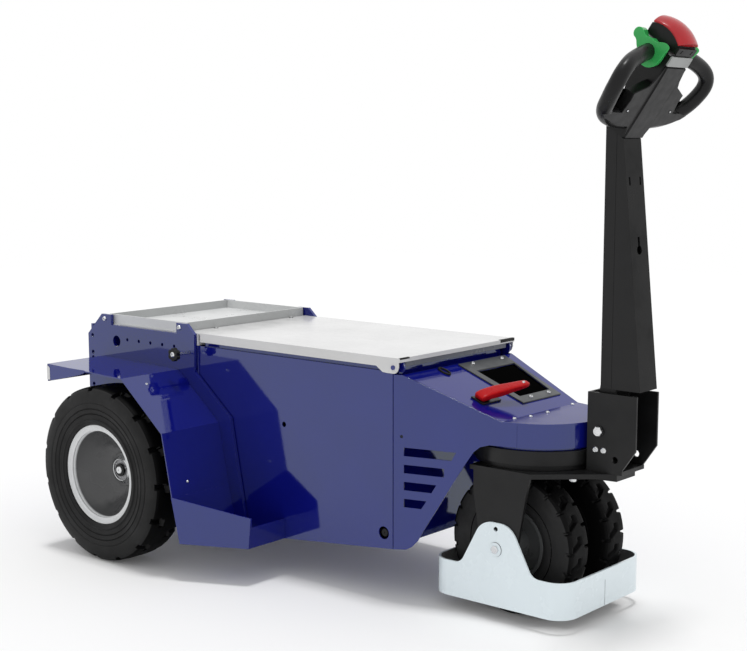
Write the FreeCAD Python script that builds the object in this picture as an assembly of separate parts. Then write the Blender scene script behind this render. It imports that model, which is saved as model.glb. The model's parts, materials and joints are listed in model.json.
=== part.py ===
import FreeCAD, Part
import math
import os

# Walk-behind electric tug: a low three-point machine with two load wheels behind,
# a steered pair of drive wheels in front and an upright tiller.
# Millimetres. +X forward (tiller end), +Y left, +Z up. Ground plane at Z = 0.
# X = 0 and Y = 0 lie at the middle of the overall length and width.

V = FreeCAD.Vector

# ---------------------------------------------------------------- layout
rear_axle_x = -511.0
wheelbase = 966.0
steer_x = rear_axle_x + wheelbase
running_gap = 0.05
seat_gap = 0.3

# ---------------------------------------------------------------- body sheet metal
sheet = 3.0
body_half = 204.0
body_bottom = 85.0
joint_to_steer = 235.0
joint_x = wheelbase - joint_to_steer
bottom_rise_x = joint_x - 318.0
joint_bottom_z = 119.0
panel_top_z = 503.0
ring_r = 142.0
nose_r = ring_r - 3.5
nose_top_z = 417.5
skirt_bottom_z = 366.0
hood_rear_x = joint_x + 21.0
hood_rear_z = 498.0
hood_front_x = wheelbase + 2.0
floor_z = 124.0
floor_t = 4.0
plate_t = 8.0
plate_gap = 2.0
plate_half = body_half + plate_gap + plate_t
plate_rear_x = -262.0
plate_front_x = 131.0

# ---------------------------------------------------------------- lid and tray
lid_top_z = 533.6
lid_t = 2.0
lid_gap = 1.0
lid_half = body_half + lid_gap + lid_t
lid_rear_x = plate_front_x + 12.9
lid_front_x = hood_rear_x
lid_skirt = 21.0
lid_front_lip = 9.0
lid_lug_r = 13.0
rim_set_in = 6.0
rim_drop = 5.6
hinge_x = joint_x + 4.0
hinge_z = 513.0
hinge_pin_r = 5.0
lid_bar_x = hinge_x + 9.0
lid_bar_t = 3.0
ear_r = 18.0
ear_t = 5.0
ear_in = body_half - sheet - 8.0 - ear_t
tray_rim_z = 553.9
tray_gap = 4.2
tray_half = plate_half - plate_t - tray_gap
tray_rear_x = -190.2
tray_front_x = 90.6
tray_rim_h = 24.0
tray_t = 3.0
tray_bar_w = 30.0
tray_bar_h = 14.0
deck_z = 533.0
knob_x = 113.0
knob_z = 486.5
knob_out = 47.0
knob_y = plate_half + knob_out
knob_r = 16.0
knob_t = 11.0
knob_stem_r = 4.0

# ---------------------------------------------------------------- rear wheels
tyre_r = 207.5
tyre_w = 104.0
track_half = plate_half + 143.0
rim_seat_r = 104.0
rim_flange_r = 117.5
rim_step_r = 102.0
rim_step_depth = 9.0
rim_w = 90.0
rim_t = 4.0
disc_depth = 75.0
hub_r = 40.0
hub_cap_r = 24.0
spindle_r = 15.0
axle_bar = 40.0

# ---------------------------------------------------------------- fenders, fitted around the tyre
fender_z = 2 * tyre_r + 27.0
fender_rise = 7.0
fender_rear_z = fender_z + fender_rise
fender_half = plate_half + 176.0
fender_rear_x = -tyre_r + 8.5
fender_fold_x = tyre_r - 132.5
fender_p1 = (tyre_r + 3.0, tyre_r + 123.6)
fender_p2 = (tyre_r + 33.0, tyre_r - 19.5)
fender_p3 = (tyre_r + 58.5, 85.5)
fender_flange = 42.0
step_front_x = fender_p3[0] + 145.9
step_front_half = plate_half + 107.0
step_front_z = 153.0
step_wall_z = 132.0

# ---------------------------------------------------------------- front assembly
front_r = 152.0
front_w = 70.0
front_pair_half = 70.0
front_rim_r = 78.0
front_hub_r = 30.0
front_axle_r = 15.0
fork_t = 8.0
fork_half = front_pair_half + front_w / 2 + 38.0 + fork_t
fork_top_z = 320.5
fork_plate_t = 10.0
ring_in_r = ring_r - 30.0
ring_bottom_z = 331.0
ring_top_z = 361.0
motor_r = 95.0
neck_front_x = wheelbase + 211.0
neck_front_half = 36.0
neck_beam_h = 6.0
neck_plate_x = wheelbase + 227.0
bumper_t = 5.0
bumper_half_x = front_r + 18.0
bumper_half_y = fork_half + seat_gap + 0.1 + bumper_t
bumper_corner = 45.0
bumper_bottom = 30.0
bumper_top = 107.0
bell_top = 208.0
bell_foot = 90.0
bell_shoulder = 36.0
bell_top_round = 45.0
bell_foot_round = 25.0

# ---------------------------------------------------------------- tiller
bracket_rear_x = wheelbase + ring_r + 2.0
bracket_front_x = bracket_rear_x + 112.7
bracket_half = 44.0
bracket_t = 5.0
bracket_bottom = 329.0
bracket_top = 483.5
pivot_x = bracket_rear_x + 29.4
pivot_z = 405.6
pivot_r = 9.0
arm_rear_x = bracket_rear_x + 22.6
arm_seam_x = arm_rear_x + 25.0
arm_half = 33.5
arm_bottom_z = 491.0
arm_top_z = 987.9
arm_front_bottom_x = arm_rear_x + 90.9
arm_front_top_x = arm_rear_x + 39.6
arm_t = 3.0
arm_boss_r = 20.0
head_tilt = 34.8
head_base = (arm_front_top_x, 988.3)
head_half = arm_half + 2.5
neck_half = head_half + 5.0
dome_half = neck_half - 8.0
dome_centre = (150.2, -45.9)
dome_r = 69.5
cap_edge_r = dome_r + 3.4
cap_crown = 12.0
cap_half = dome_half + 3.9
cap_from = 53.0
cap_to = 113.8
mask_t = 3.0
mask_rise = 2.5
grip_r = 15.5


def gx(x):
    """X measured from the rear axle, moved to the part's frame."""
    return x + rear_axle_x


def box(x0, x1, y0, y1, z0, z1):
    return Part.makeBox(x1 - x0, y1 - y0, z1 - z0, V(x0, y0, z0))


def rod(x, y, z, axis, radius, length):
    return Part.makeCylinder(radius, length, V(x, y, z), V(*axis))


def flat(points):
    return Part.Face(Part.makePolygon([V(*p) for p in points] + [V(*points[0])]))


def side_plate(points, y0, y1):
    """Outline given as (X, Z), standing along the machine, thick from y0 to y1."""
    return flat([(x, y0, z) for x, z in points]).extrude(V(0, y1 - y0, 0))


def level_plate(points, z0, z1):
    """Outline given as (X, Y), lying flat, thick from z0 to z1."""
    return flat([(x, y, z0) for x, y in points]).extrude(V(0, 0, z1 - z0))


def cross_plate(points, x0, x1):
    """Outline given as (Y, Z), standing across the machine, thick from x0 to x1."""
    return flat([(x0, y, z) for y, z in points]).extrude(V(x1 - x0, 0, 0))


def mirrored(shape):
    return shape.mirror(V(0, 0, 0), V(0, 1, 0))


def joined(shapes):
    out = shapes[0].fuse(shapes[1:]) if len(shapes) > 1 else shapes[0]
    return out.removeSplitter()


def group(shapes):
    """Separate solids that share one node."""
    return Part.makeCompound(shapes)


def write(name, shape):
    shape.exportStep("parts/" + name + ".step")


def pair(shape):
    """The left piece and its mirror image on the right."""
    return group([shape, mirrored(shape)])


os.makedirs("parts", exist_ok=True)

# ================================================================ rear wheels
def ring_profile(points, y_mid, x, z):
    """Revolve (radius, y) points about an axle along Y through (x, z)."""
    wire = Part.makePolygon([V(x + r, y_mid + y, z) for r, y in points + [points[0]]])
    return Part.Face(wire).revolve(V(x, y_mid, z), V(0, 1, 0), 360)


def rear_tyre(side):
    half = tyre_w / 2
    tread_half = half - 17
    points = [
        (rim_seat_r, -rim_w / 2 + rim_t),
        (rim_flange_r + 1, -rim_w / 2 + rim_t),
        (rim_flange_r + 12, -half + 3),
        (158.0, -half),
        (186.0, -half + 3),
        (200.0, -half + 9),
        (tyre_r - 1, -tread_half),
        (tyre_r, 0),
        (tyre_r - 1, tread_half),
        (200.0, half - 9),
        (186.0, half - 3),
        (158.0, half),
        (rim_flange_r + 12, half - 3),
        (rim_flange_r + 1, rim_w / 2 - rim_t),
        (rim_seat_r, rim_w / 2 - rim_t),
    ]
    return ring_profile(points, side * track_half, rear_axle_x, tyre_r)


def bowl_depth(r):
    """Offset from the wheel's middle of the dished face at radius r."""
    rim_y = rim_w / 2 - rim_step_depth
    deep = rim_w / 2 - disc_depth
    k = (rim_step_r - r) / (rim_step_r - hub_r)
    return rim_y - (rim_y - deep) * math.sin(k * math.pi / 2) ** 0.8


def rear_rim(side):
    lip = rim_w / 2
    deep = lip - disc_depth
    radii = [rim_step_r - 0.5, 99.0, 92.0, 80.0, 66.0, 52.0, hub_r]
    bowl = [(r, bowl_depth(r)) for r in radii]
    back = [(r - 1, y - rim_t) for r, y in reversed(bowl[1:])]
    outline = [
        (rim_seat_r - rim_t, -lip + rim_t),
        (rim_seat_r - rim_t, bowl[1][1] - rim_t),
    ]
    outline += list(reversed(back))
    outline += [
        (hub_r - 6, -lip + 10),
        (spindle_r + running_gap, -lip + 10),
        (spindle_r + running_gap, deep + 8),
        (hub_cap_r, deep + 8),
        (hub_cap_r + 2, deep + 4),
        (hub_r, deep + 4),
    ]
    outline += list(reversed(bowl))
    outline += [
        (rim_step_r, lip - rim_step_depth),
        (rim_flange_r - 3, lip),
        (rim_flange_r, lip),
        (rim_flange_r, lip - rim_t + seat_gap),
        (rim_seat_r - seat_gap, lip - rim_t + seat_gap),
        (rim_seat_r - seat_gap, -lip + rim_t - seat_gap),
        (rim_flange_r, -lip + rim_t - seat_gap),
        (rim_flange_r, -lip),
        (rim_seat_r - rim_t, -lip),
    ]
    return ring_profile([(r, side * y) for r, y in outline], side * track_half, rear_axle_x, tyre_r)


write("rear_tyre_left", rear_tyre(1))
write("rear_tyre_right", rear_tyre(-1))
write("rear_rim_left", rear_rim(1))
write("rear_rim_right", rear_rim(-1))

# ---------------------------------------------------------------- rear axle
spindle_end = track_half + rim_w / 2 - disc_depth + 8 + 6
stub = rod(rear_axle_x, plate_half, tyre_r, (0, 1, 0), spindle_r, spindle_end - plate_half)
collar_y = track_half - rim_w / 2 + 10 - 1
collar = rod(rear_axle_x, plate_half, tyre_r, (0, 1, 0), 24.0, collar_y - plate_half)
half_bar = axle_bar / 2
beam = box(
    rear_axle_x - half_bar, rear_axle_x + half_bar,
    -plate_half - 1, plate_half + 1,
    tyre_r - half_bar, tyre_r + half_bar,
)
rear_axle = joined([beam, stub, collar, mirrored(stub), mirrored(collar)])
write("rear_axle", rear_axle)

# ================================================================ side plates at the rear
plate_low = 150.0
plate_outline = [
    (plate_rear_x, plate_low),
    (plate_rear_x, 500.0),
    (-207.0, 553.4),
    (-172.0, 553.4),
    (-172.0, 527.8),
    (69.0, 527.8),
    (69.0, 553.4),
    (105.0, 553.4),
    (plate_front_x, 530.0),
    (plate_front_x - 2, fender_z),
    (247.5, 346.0),
    (291.0, 123.0),
    (291.0, 100.0),
    (270.0, 88.0),
    (-120.0, 88.0),
]
plate = side_plate([(gx(x), z) for x, z in plate_outline], plate_half - plate_t, plate_half)


def hole_y(x, z, radius):
    return rod(gx(x), 150, z, (0, 1, 0), radius, 100)


big_hole = hole_y(-151.8, 489.0, 14.0)
plate = plate.cut(big_hole)
row_pitch = 42.8
for i in range(5):
    plate = plate.cut(hole_y(-111.3 + i * row_pitch, 496.0, 4.2))
for z in (496.0, 453.6, 439.5, 372.0):
    plate = plate.cut(hole_y(plate_rear_x + 17, z, 5.2))
axle_slot = box(
    rear_axle_x - half_bar - seat_gap, rear_axle_x + half_bar + seat_gap,
    150, 250,
    tyre_r - half_bar - seat_gap, tyre_r + half_bar + seat_gap,
)
plate = plate.cut(axle_slot)
knob_hole = hole_y(knob_x, knob_z, knob_stem_r + seat_gap)
plate = plate.cut(knob_hole)
write("rear_plates", pair(plate))

# ================================================================ chassis
inner = body_half - sheet - seat_gap
plate_in = plate_half - plate_t - seat_gap
rear_floor_z = tyre_r + half_bar + 8
wall_x = plate_rear_x + 2 + plate_t
pan_floor = box(gx(plate_front_x), gx(joint_x), -inner, inner, floor_z, floor_z + floor_t)
bulk_rear = box(
    gx(plate_front_x), gx(plate_front_x) + floor_t, -plate_in, plate_in, floor_z, panel_top_z)
bulk_front = box(
    gx(joint_x) - floor_t, gx(joint_x), -inner, inner, floor_z, hinge_z - ear_r - 2)
bulk_rim = box(
    gx(joint_x) - floor_t, gx(joint_x), -ear_in + 5, ear_in - 5, hinge_z - ear_r - 3, hinge_z - 2)
write("battery_pan", joined([pan_floor, bulk_rear, bulk_front, bulk_rim]))
rear_floor = box(
    gx(wall_x) + seat_gap, gx(plate_front_x) - seat_gap,
    -plate_in, plate_in, rear_floor_z, rear_floor_z + floor_t)
write("rear_floor", rear_floor)

hitch_z = 300.0
hitch_pitch_y = 120.0
hitch_pitch_z = 80.0
hitch_hole_r = 6.6
rear_wall = box(
    gx(wall_x) - plate_t, gx(wall_x), -plate_in, plate_in, rear_floor_z - 80, deck_z - 9)
for y in (-hitch_pitch_y / 2, hitch_pitch_y / 2):
    for z in (hitch_z - hitch_pitch_z / 2, hitch_z + hitch_pitch_z / 2):
        rear_wall = rear_wall.cut(rod(gx(wall_x) - 50, y, z, (1, 0, 0), hitch_hole_r, 100))
write("rear_wall", rear_wall)

# ---------------------------------------------------------------- side panels
side_outline = [
    (plate_front_x + floor_t + 1, body_bottom),
    (bottom_rise_x, body_bottom),
    (joint_x - seat_gap, joint_bottom_z),
    (joint_x - seat_gap, panel_top_z),
    (plate_front_x + floor_t + 1, panel_top_z),
]
side_panel = side_plate([(gx(x), z) for x, z in side_outline], body_half - sheet, body_half)
rim_in = body_half - sheet - rim_set_in
rim_x0 = gx(lid_rear_x + 8)
rim_x1 = gx(joint_x - 2)
rim_ledge = box(rim_x0, rim_x1, rim_in, body_half, panel_top_z - sheet, panel_top_z)
rim_wall = box(rim_x0, rim_x1, rim_in, rim_in + sheet, panel_top_z - sheet, lid_top_z - lid_t - rim_drop)
side_panel = joined([side_panel, rim_ledge, rim_wall])
lock_hole_r = 14.0
side_panel = side_panel.cut(hole_y(joint_x - 25, 151.0, lock_hole_r))
side_panel = side_panel.cut(hole_y(bottom_rise_x - 1, 350.0, 6.0))
write("side_panels", pair(side_panel))

# ---------------------------------------------------------------- tapered front panels
# The panels run straight from the joint to touch the round nose.
reach = math.hypot(body_half, joint_to_steer)
taper = math.acos(nose_r / reach) - math.atan2(joint_to_steer, body_half)
seam_s = (steer_x - gx(joint_x) + nose_r * math.sin(taper)) / math.cos(taper)


def along(x):
    """Distance along the tapered panel at X (from the rear axle)."""
    return (x - joint_x) / math.cos(taper)


def taper_point(s, z, inset=0.0):
    """Point on the left front panel, s along it from the joint, inset inwards."""
    x = gx(joint_x) + s * math.cos(taper) - inset * math.sin(taper)
    y = body_half - s * math.sin(taper) - inset * math.cos(taper)
    return V(x, y, z)


def taper_sheet(points, inset=0.0, thick=sheet):
    wire = Part.makePolygon([taper_point(s, z, inset) for s, z in points + [points[0]]])
    inward = V(-math.sin(taper), -math.cos(taper), 0) * thick
    return Part.Face(wire).extrude(inward)


hood_slope = (hood_rear_z - nose_top_z) / (hood_front_x - hood_rear_x)
joint_gap = 1.5
front_outline = [
    (joint_gap, 119.0),
    (31.0, 122.0),
    (44.0, 129.0),
    (58.6, 144.0),
    (70.0, 165.0),
    (163.0, 317.0),
    (183.5, 348.0),
    (198.0, 360.0),
    (218.4, skirt_bottom_z),
    (seam_s - seat_gap, skirt_bottom_z),
    (seam_s - seat_gap, nose_top_z),
    (along(hood_front_x), nose_top_z),
    (along(hood_rear_x), hood_rear_z),
    (joint_gap, hood_rear_z),
]
front_panel = taper_sheet(front_outline)
louvre_h = 18.0
louvre_pitch = 36.9
louvre_ends = [(144.7, 134.5), (118.0, 118.0), (100.4, 89.5), (77.8, 66.1)]
for i, (top_end, low_end) in enumerate(louvre_ends):
    top = 343.4 - i * louvre_pitch
    slot = [(25.5, top - louvre_h), (low_end, top - louvre_h), (top_end, top), (25.5, top)]
    front_panel = front_panel.cut(taper_sheet(slot, -5.0, 20.0))
write("front_panels", pair(front_panel))

# ---------------------------------------------------------------- hood and nose
def inner_half(x, gap=sheet + seat_gap):
    """Half width inside the tapered panels at X (from the rear axle)."""
    return body_half - (x - joint_x) * math.tan(taper) - gap / math.cos(taper)


shelf_drop = 6.0
shelf_low_z = hood_rear_z - shelf_drop - sheet
hood_tilt = math.atan(hood_slope)
hood_t = sheet / math.cos(hood_tilt)
hood_fold_x = hood_rear_x + (hood_rear_z - hood_t - shelf_low_z) / hood_slope
hood_points = [
    (joint_x + seat_gap, hood_rear_z - shelf_drop),
    (hood_rear_x - sheet, hood_rear_z - shelf_drop),
    (hood_rear_x - sheet, hood_rear_z),
    (hood_rear_x, hood_rear_z),
    (hood_front_x - seat_gap, nose_top_z),
    (hood_front_x - seat_gap, nose_top_z - hood_t),
    (hood_fold_x, shelf_low_z),
    (joint_x + seat_gap, shelf_low_z),
]
hood_block = side_plate([(gx(x), z) for x, z in hood_points], -body_half, body_half)
hood_plan = [
    (gx(joint_x), -inner_half(joint_x)),
    (gx(hood_front_x), -inner_half(hood_front_x)),
    (gx(hood_front_x), inner_half(hood_front_x)),
    (gx(joint_x), inner_half(joint_x)),
]
hood = hood_block.common(level_plate(hood_plan, 300, 600))
shelf_half = ear_in - 2.5
for y in (-body_half, shelf_half):
    hood = hood.cut(box(
        gx(joint_x), gx(hood_rear_x), y, y + body_half - shelf_half, hood_rear_z - 20, hood_rear_z + 5))
screen_x0 = hood_rear_x + 40.0
screen_x1 = hood_rear_x + 156.0
screen_plan = [(gx(screen_x0), 8.0), (gx(screen_x1), 8.0), (gx(screen_x1), 120.5), (gx(screen_x0), 150.0)]
hood = hood.cut(level_plate(screen_plan, 380, 600))
write("hood_cover", hood)

nose_outer = rod(steer_x, 0, skirt_bottom_z, (0, 0, 1), nose_r, nose_top_z - skirt_bottom_z)
nose_low = skirt_bottom_z - 5
nose_inner = rod(steer_x, 0, nose_low, (0, 0, 1), nose_r - sheet, nose_top_z - sheet - nose_low)
seam_x = steer_x + nose_r * math.sin(taper)
ahead = box(seam_x, seam_x + 300, -300, 300, 300, 600)
nose_skirt = nose_outer.cut(nose_inner).common(ahead)
top_plan = [
    (gx(hood_front_x), -inner_half(hood_front_x)),
    (seam_x + 5, -inner_half(seam_x + 5 - rear_axle_x)),
    (seam_x + 5, inner_half(seam_x + 5 - rear_axle_x)),
    (gx(hood_front_x), inner_half(hood_front_x)),
]
nose_top = level_plate(top_plan, nose_top_z - sheet, nose_top_z)
nose = joined([nose_skirt, nose_top])
write("nose_cover", nose)

# ---------------------------------------------------------------- steering head plate
head_plate_z = skirt_bottom_z + 1
head_plate_t = 8.0
head_plate_r = nose_r - sheet - 0.5
head_plan = [
    (gx(joint_x) + seat_gap, -inner_half(joint_x + 4) + 6),
    (seam_x, -inner_half(seam_x - rear_axle_x) + 2),
    (seam_x, inner_half(seam_x - rear_axle_x) - 2),
    (gx(joint_x) + seat_gap, inner_half(joint_x + 4) - 6),
]
head_plate = level_plate(head_plan, head_plate_z, head_plate_z + head_plate_t)
head_plate = head_plate.fuse(rod(steer_x, 0, head_plate_z, (0, 0, 1), head_plate_r, head_plate_t))
race = rod(steer_x, 0, ring_top_z + seat_gap, (0, 0, 1), ring_r - 8, head_plate_z + 1 - ring_top_z)
head_plate = head_plate.fuse(race)
head_plate = head_plate.cut(rod(steer_x, 0, 300, (0, 0, 1), motor_r + 8, 200)).removeSplitter()
write("steering_plate", head_plate)

# ---------------------------------------------------------------- battery
battery_gap = 49.0
battery_half = body_half - 34.0
battery_h = 260.0
battery = box(
    gx(plate_front_x + battery_gap), gx(joint_x - battery_gap - 2), -battery_half, battery_half,
    floor_z + floor_t, floor_z + floor_t + battery_h)
write("battery_block", battery)

# ================================================================ rear tray
tray_low_z = tray_rim_z - tray_rim_h
tray_outer = box(gx(tray_rear_x), gx(tray_front_x), -tray_half, tray_half, tray_low_z, tray_rim_z)
tray_hollow = box(
    gx(tray_rear_x) + tray_t, gx(tray_front_x) - tray_t,
    -tray_half + tray_t, tray_half - tray_t,
    tray_rim_z - tray_rim_h + tray_t, tray_rim_z + 5,
)
write("tray", tray_outer.cut(tray_hollow))
bar_top = tray_rim_z - tray_rim_h - seat_gap
tray_bar = box(0, tray_bar_w, -plate_in, plate_in, bar_top - tray_bar_h, bar_top)
rear_bar = tray_bar.translated(V(gx(tray_rear_x) + 15, 0, 0))
front_bar = tray_bar.translated(V(gx(tray_front_x) - 15 - tray_bar_w, 0, 0))
write("tray_bars", group([rear_bar, front_bar]))
deck_points = [
    (tray_front_x + 1.5, deck_z), (lid_rear_x - 2, deck_z), (lid_rear_x - 2, deck_z - sheet),
    (plate_front_x + floor_t, deck_z - sheet), (plate_front_x + floor_t, panel_top_z + seat_gap),
    (plate_front_x, panel_top_z + seat_gap),
    (plate_front_x, deck_z - sheet), (tray_front_x + 1.5, deck_z - sheet),
]
write("deck_strip", side_plate([(gx(x), z) for x, z in deck_points], -plate_in, plate_in))

knob_base = plate_half - plate_t - 6
knob_stem = rod(gx(knob_x), knob_base, knob_z, (0, 1, 0), knob_stem_r, knob_y - knob_base)
knob = rod(gx(knob_x), knob_y - knob_t / 2, knob_z, (0, 1, 0), knob_r, knob_t)
knob = knob.fuse(rod(gx(knob_x), knob_y - knob_t / 2 - 6, knob_z, (0, 1, 0), knob_r * 0.5, 8.0))
lobes = 6
for i in range(lobes):
    turn = 2 * math.pi * i / lobes
    flute = rod(
        gx(knob_x) + (knob_r + 3) * math.cos(turn), knob_y - knob_t, knob_z + (knob_r + 3) * math.sin(turn),
        (0, 1, 0), 5.5, knob_t * 2)
    knob = knob.cut(flute)
write("latch_knobs", pair(joined([knob, knob_stem])))

# ================================================================ lid
lid_low = lid_top_z - lid_skirt
lid_outer = box(gx(lid_rear_x), gx(lid_front_x), -lid_half, lid_half, lid_low, lid_top_z)
lid_hollow = box(
    gx(lid_rear_x) + lid_t, gx(lid_front_x) - lid_t,
    -lid_half + lid_t, lid_half - lid_t,
    lid_low - 5, lid_top_z - lid_t,
)
front_cut = box(
    gx(lid_front_x) - lid_t - 1, gx(lid_front_x) + 5, -lid_half - 5, lid_half + 5,
    lid_low - 5, lid_top_z - lid_front_lip)
lid = lid_outer.cut(lid_hollow).cut(front_cut)
lug_points = [
    (hinge_x - 49, lid_low + 1),
    (hinge_x - 30, hinge_z - lid_lug_r + 1), (hinge_x - 18, hinge_z - lid_lug_r),
    (hinge_x, hinge_z - lid_lug_r), (hinge_x, lid_low + 1),
]
lug = side_plate([(gx(x), z) for x, z in lug_points], lid_half - lid_t, lid_half)
lug = lug.fuse(rod(gx(hinge_x), lid_half - lid_t, hinge_z, (0, 1, 0), lid_lug_r, lid_t))
lid = joined([lid, lug, mirrored(lug)])
lid = lid.cut(rod(gx(hinge_x), -250, hinge_z, (0, 1, 0), hinge_pin_r + running_gap, 500))
write("lid_panel", lid)
lid_bar = box(
    gx(lid_bar_x), gx(lid_bar_x) + lid_bar_t, -ear_in + 6, ear_in - 6,
    hinge_z, lid_top_z - lid_t - seat_gap)
write("lid_bar", lid_bar)

ear = rod(gx(hinge_x), ear_in, hinge_z, (0, 1, 0), ear_r, ear_t)
ear_stem = box(gx(joint_x) + seat_gap, gx(joint_x) + 12, ear_in, ear_in + ear_t, 440, hinge_z)
pin = rod(gx(hinge_x), ear_in - 3, hinge_z, (0, 1, 0), hinge_pin_r, lid_half + 3 - ear_in + 3)
write("hinge_ears", pair(joined([ear, ear_stem, pin])))

# ================================================================ fenders
def sheet_strip(path, thick, y0, y1):
    """Bent sheet: (X, Z) path along its outer face, thickness added below it."""
    parts = []
    for (xa, za), (xb, zb) in zip(path[:-1], path[1:]):
        length = math.hypot(xb - xa, zb - za)
        nx = (zb - za) / length * thick
        nz = -(xb - xa) / length * thick
        parts.append(side_plate([(xa, za), (xb, zb), (xb + nx, zb + nz), (xa + nx, za + nz)], y0, y1))
    return joined(parts)


fender_path = [
    (fender_rear_x, fender_rear_z - fender_flange),
    (fender_rear_x, fender_rear_z),
    (fender_fold_x, fender_z),
    fender_p1,
    fender_p2,
    fender_p3,
]
path = [(gx(x), z) for x, z in fender_path]
fender_in = plate_half + seat_gap
fender = sheet_strip(path, sheet, fender_in, fender_half)
step_z = fender_p3[1]


def trimmed(shape, point, normal):
    """Take away what lies beyond a plane, on the side its normal points to."""
    size = 2000.0
    tool = Part.makeBox(size, size, size, V(-size / 2, -size / 2, 0))
    tool.Placement = FreeCAD.Placement(V(*point), FreeCAD.Rotation(V(0, 0, 1), V(*normal)))
    return shape.cut(tool)


facet = V(fender_p2[0] - fender_p3[0], 0, fender_p2[1] - fender_p3[1])
facet_back = V(-facet.z, 0, facet.x)
facet_back.normalize()
toe_in = V(step_front_x - fender_p3[0], step_front_half - fender_half, 0)
outward = facet.cross(toe_in)
outward.normalize()
step_low = V(gx(fender_p3[0]), fender_half, step_z)
wall_top = V(gx(fender_p2[0]), fender_half, fender_p2[1])
top_normal = V(fender_p2[1] - step_front_z, 0, step_front_x - fender_p2[0])


def step_block(inset):
    x0, x1 = gx(fender_p2[0]) - 5, gx(step_front_x) - inset
    block = box(x0, x1, body_half + seat_gap, fender_half + 60, step_z + inset, 300)
    block = trimmed(block, step_low + facet_back * (sheet - 0.5 - inset), facet_back)
    return trimmed(block, step_low - outward * inset, outward)


step = step_block(0.0).cut(step_block(sheet))
step = trimmed(step, wall_top, top_normal)
notch = box(gx(step_front_x) - 30, gx(step_front_x) + 5, 150, step_front_half - 12, step_wall_z, 300)
step = step.cut(notch)
step = step.cut(box(gx(fender_p2[0]) - 10, gx(fender_p2[0] + 52.5), 150, fender_in, 50, 300))
fender = joined([fender, step])
write("fenders", pair(fender))

# ================================================================ steered front assembly
fork_low = 118.0
leg_outline = [
    (-62.0, fork_top_z),
    (-62.0, 268.0),
    (-50.0, 195.0),
    (-40.0, fork_low),
    (40.0, fork_low),
    (52.0, 176.0),
    (72.0, 286.0),
    (80.0, fork_top_z),
]
leg = side_plate([(steer_x + x, z) for x, z in leg_outline], fork_half - fork_t, fork_half)
fork_plan = [
    (steer_x - 72, -fork_half), (steer_x + 80, -fork_half),
    (gx(neck_front_x), -neck_front_half), (gx(neck_front_x), neck_front_half),
    (steer_x + 80, fork_half), (steer_x - 72, fork_half),
]
top_plate = level_plate(fork_plan, fork_top_z - fork_plate_t, fork_top_z)
beam_low = fork_top_z - fork_plate_t - neck_beam_h
neck_beam = level_plate([
    (steer_x + 60, -60), (gx(neck_front_x), -neck_front_half),
    (gx(neck_front_x), neck_front_half), (steer_x + 60, 60)], beam_low, fork_top_z - fork_plate_t)
fork = joined([top_plate, neck_beam, leg, mirrored(leg)])
axle_hole = rod(steer_x, -200, front_r, (0, 1, 0), front_axle_r + seat_gap, 400)
write("fork", fork.cut(axle_hole))
front_axle = rod(steer_x, -fork_half - 7, front_r, (0, 1, 0), front_axle_r, 2 * fork_half + 14)
write("front_axle", front_axle)

ring = rod(steer_x, 0, ring_bottom_z, (0, 0, 1), ring_r, ring_top_z - ring_bottom_z)
ring = ring.cut(rod(steer_x, 0, 300, (0, 0, 1), ring_in_r, 100))
write("turntable_ring", ring)
disc = rod(steer_x, 0, fork_top_z, (0, 0, 1), ring_r - 6, ring_bottom_z - fork_top_z)
motor = rod(steer_x, 0, ring_bottom_z, (0, 0, 1), motor_r, 70.0)
write("drive_motor", joined([disc, motor]))
gear_half = 22.0
gear_case = rod(steer_x, -gear_half, front_r, (0, 1, 0), 62.0, 2 * gear_half)
gear_neck = box(steer_x - 40, steer_x + 40, -gear_half, gear_half, front_r, fork_top_z - fork_plate_t)
gear = joined([gear_case, gear_neck]).cut(axle_hole)
write("gear_case", gear)

neck_plate = box(
    gx(bracket_rear_x), gx(neck_plate_x), -bracket_half, bracket_half, fork_top_z, bracket_bottom)
bracket_outline = [
    (bracket_rear_x, bracket_bottom), (neck_plate_x - 1, bracket_bottom),
    (bracket_front_x, bracket_bottom + 44), (bracket_front_x, bracket_top), (bracket_rear_x, bracket_top),
]
cheek = side_plate([(gx(x), z) for x, z in bracket_outline], bracket_half - bracket_t, bracket_half)
back = box(
    gx(bracket_rear_x), gx(bracket_rear_x) + bracket_t,
    -bracket_half, bracket_half, bracket_bottom, bracket_top)
bracket = joined([neck_plate, cheek, mirrored(cheek), back])
pivot_hole = rod(gx(pivot_x), -100, pivot_z, (0, 1, 0), pivot_r + seat_gap, 200)
bracket = bracket.cut(pivot_hole)
bracket = bracket.cut(rod(gx(bracket_rear_x + 66.0), -100, bracket_bottom + 21.5, (0, 1, 0), 7.0, 200))
write("tiller_bracket", bracket)
pivot = rod(gx(pivot_x), -bracket_half - 8, pivot_z, (0, 1, 0), pivot_r, 2 * bracket_half + 16)
write("pivot_bolt", pivot)

# ---------------------------------------------------------------- bumper
def rounded_plan(half_x, half_y, radius, z0, z1):
    base = box(steer_x - half_x, steer_x + half_x, -half_y, half_y, z0, z1)
    edges = [e for e in base.Edges if abs(e.Vertexes[0].Z - e.Vertexes[-1].Z) > 1]
    return base.makeFillet(radius, edges)


band = rounded_plan(bumper_half_x, bumper_half_y, bumper_corner, bumper_bottom, bell_top)
band = band.cut(rounded_plan(
    bumper_half_x - bumper_t, bumper_half_y - bumper_t, bumper_corner - bumper_t,
    bumper_bottom - 5, bell_top + 5))
bell = [
    (-300, bumper_bottom - 5), (-300, bumper_top), (-bell_foot, bumper_top), (-bell_shoulder, bell_top),
    (bell_shoulder, bell_top), (bell_foot, bumper_top), (300, bumper_top), (300, bumper_bottom - 5),
]
bell_block = side_plate([(steer_x + x, z) for x, z in bell], -300, 300)


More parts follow.
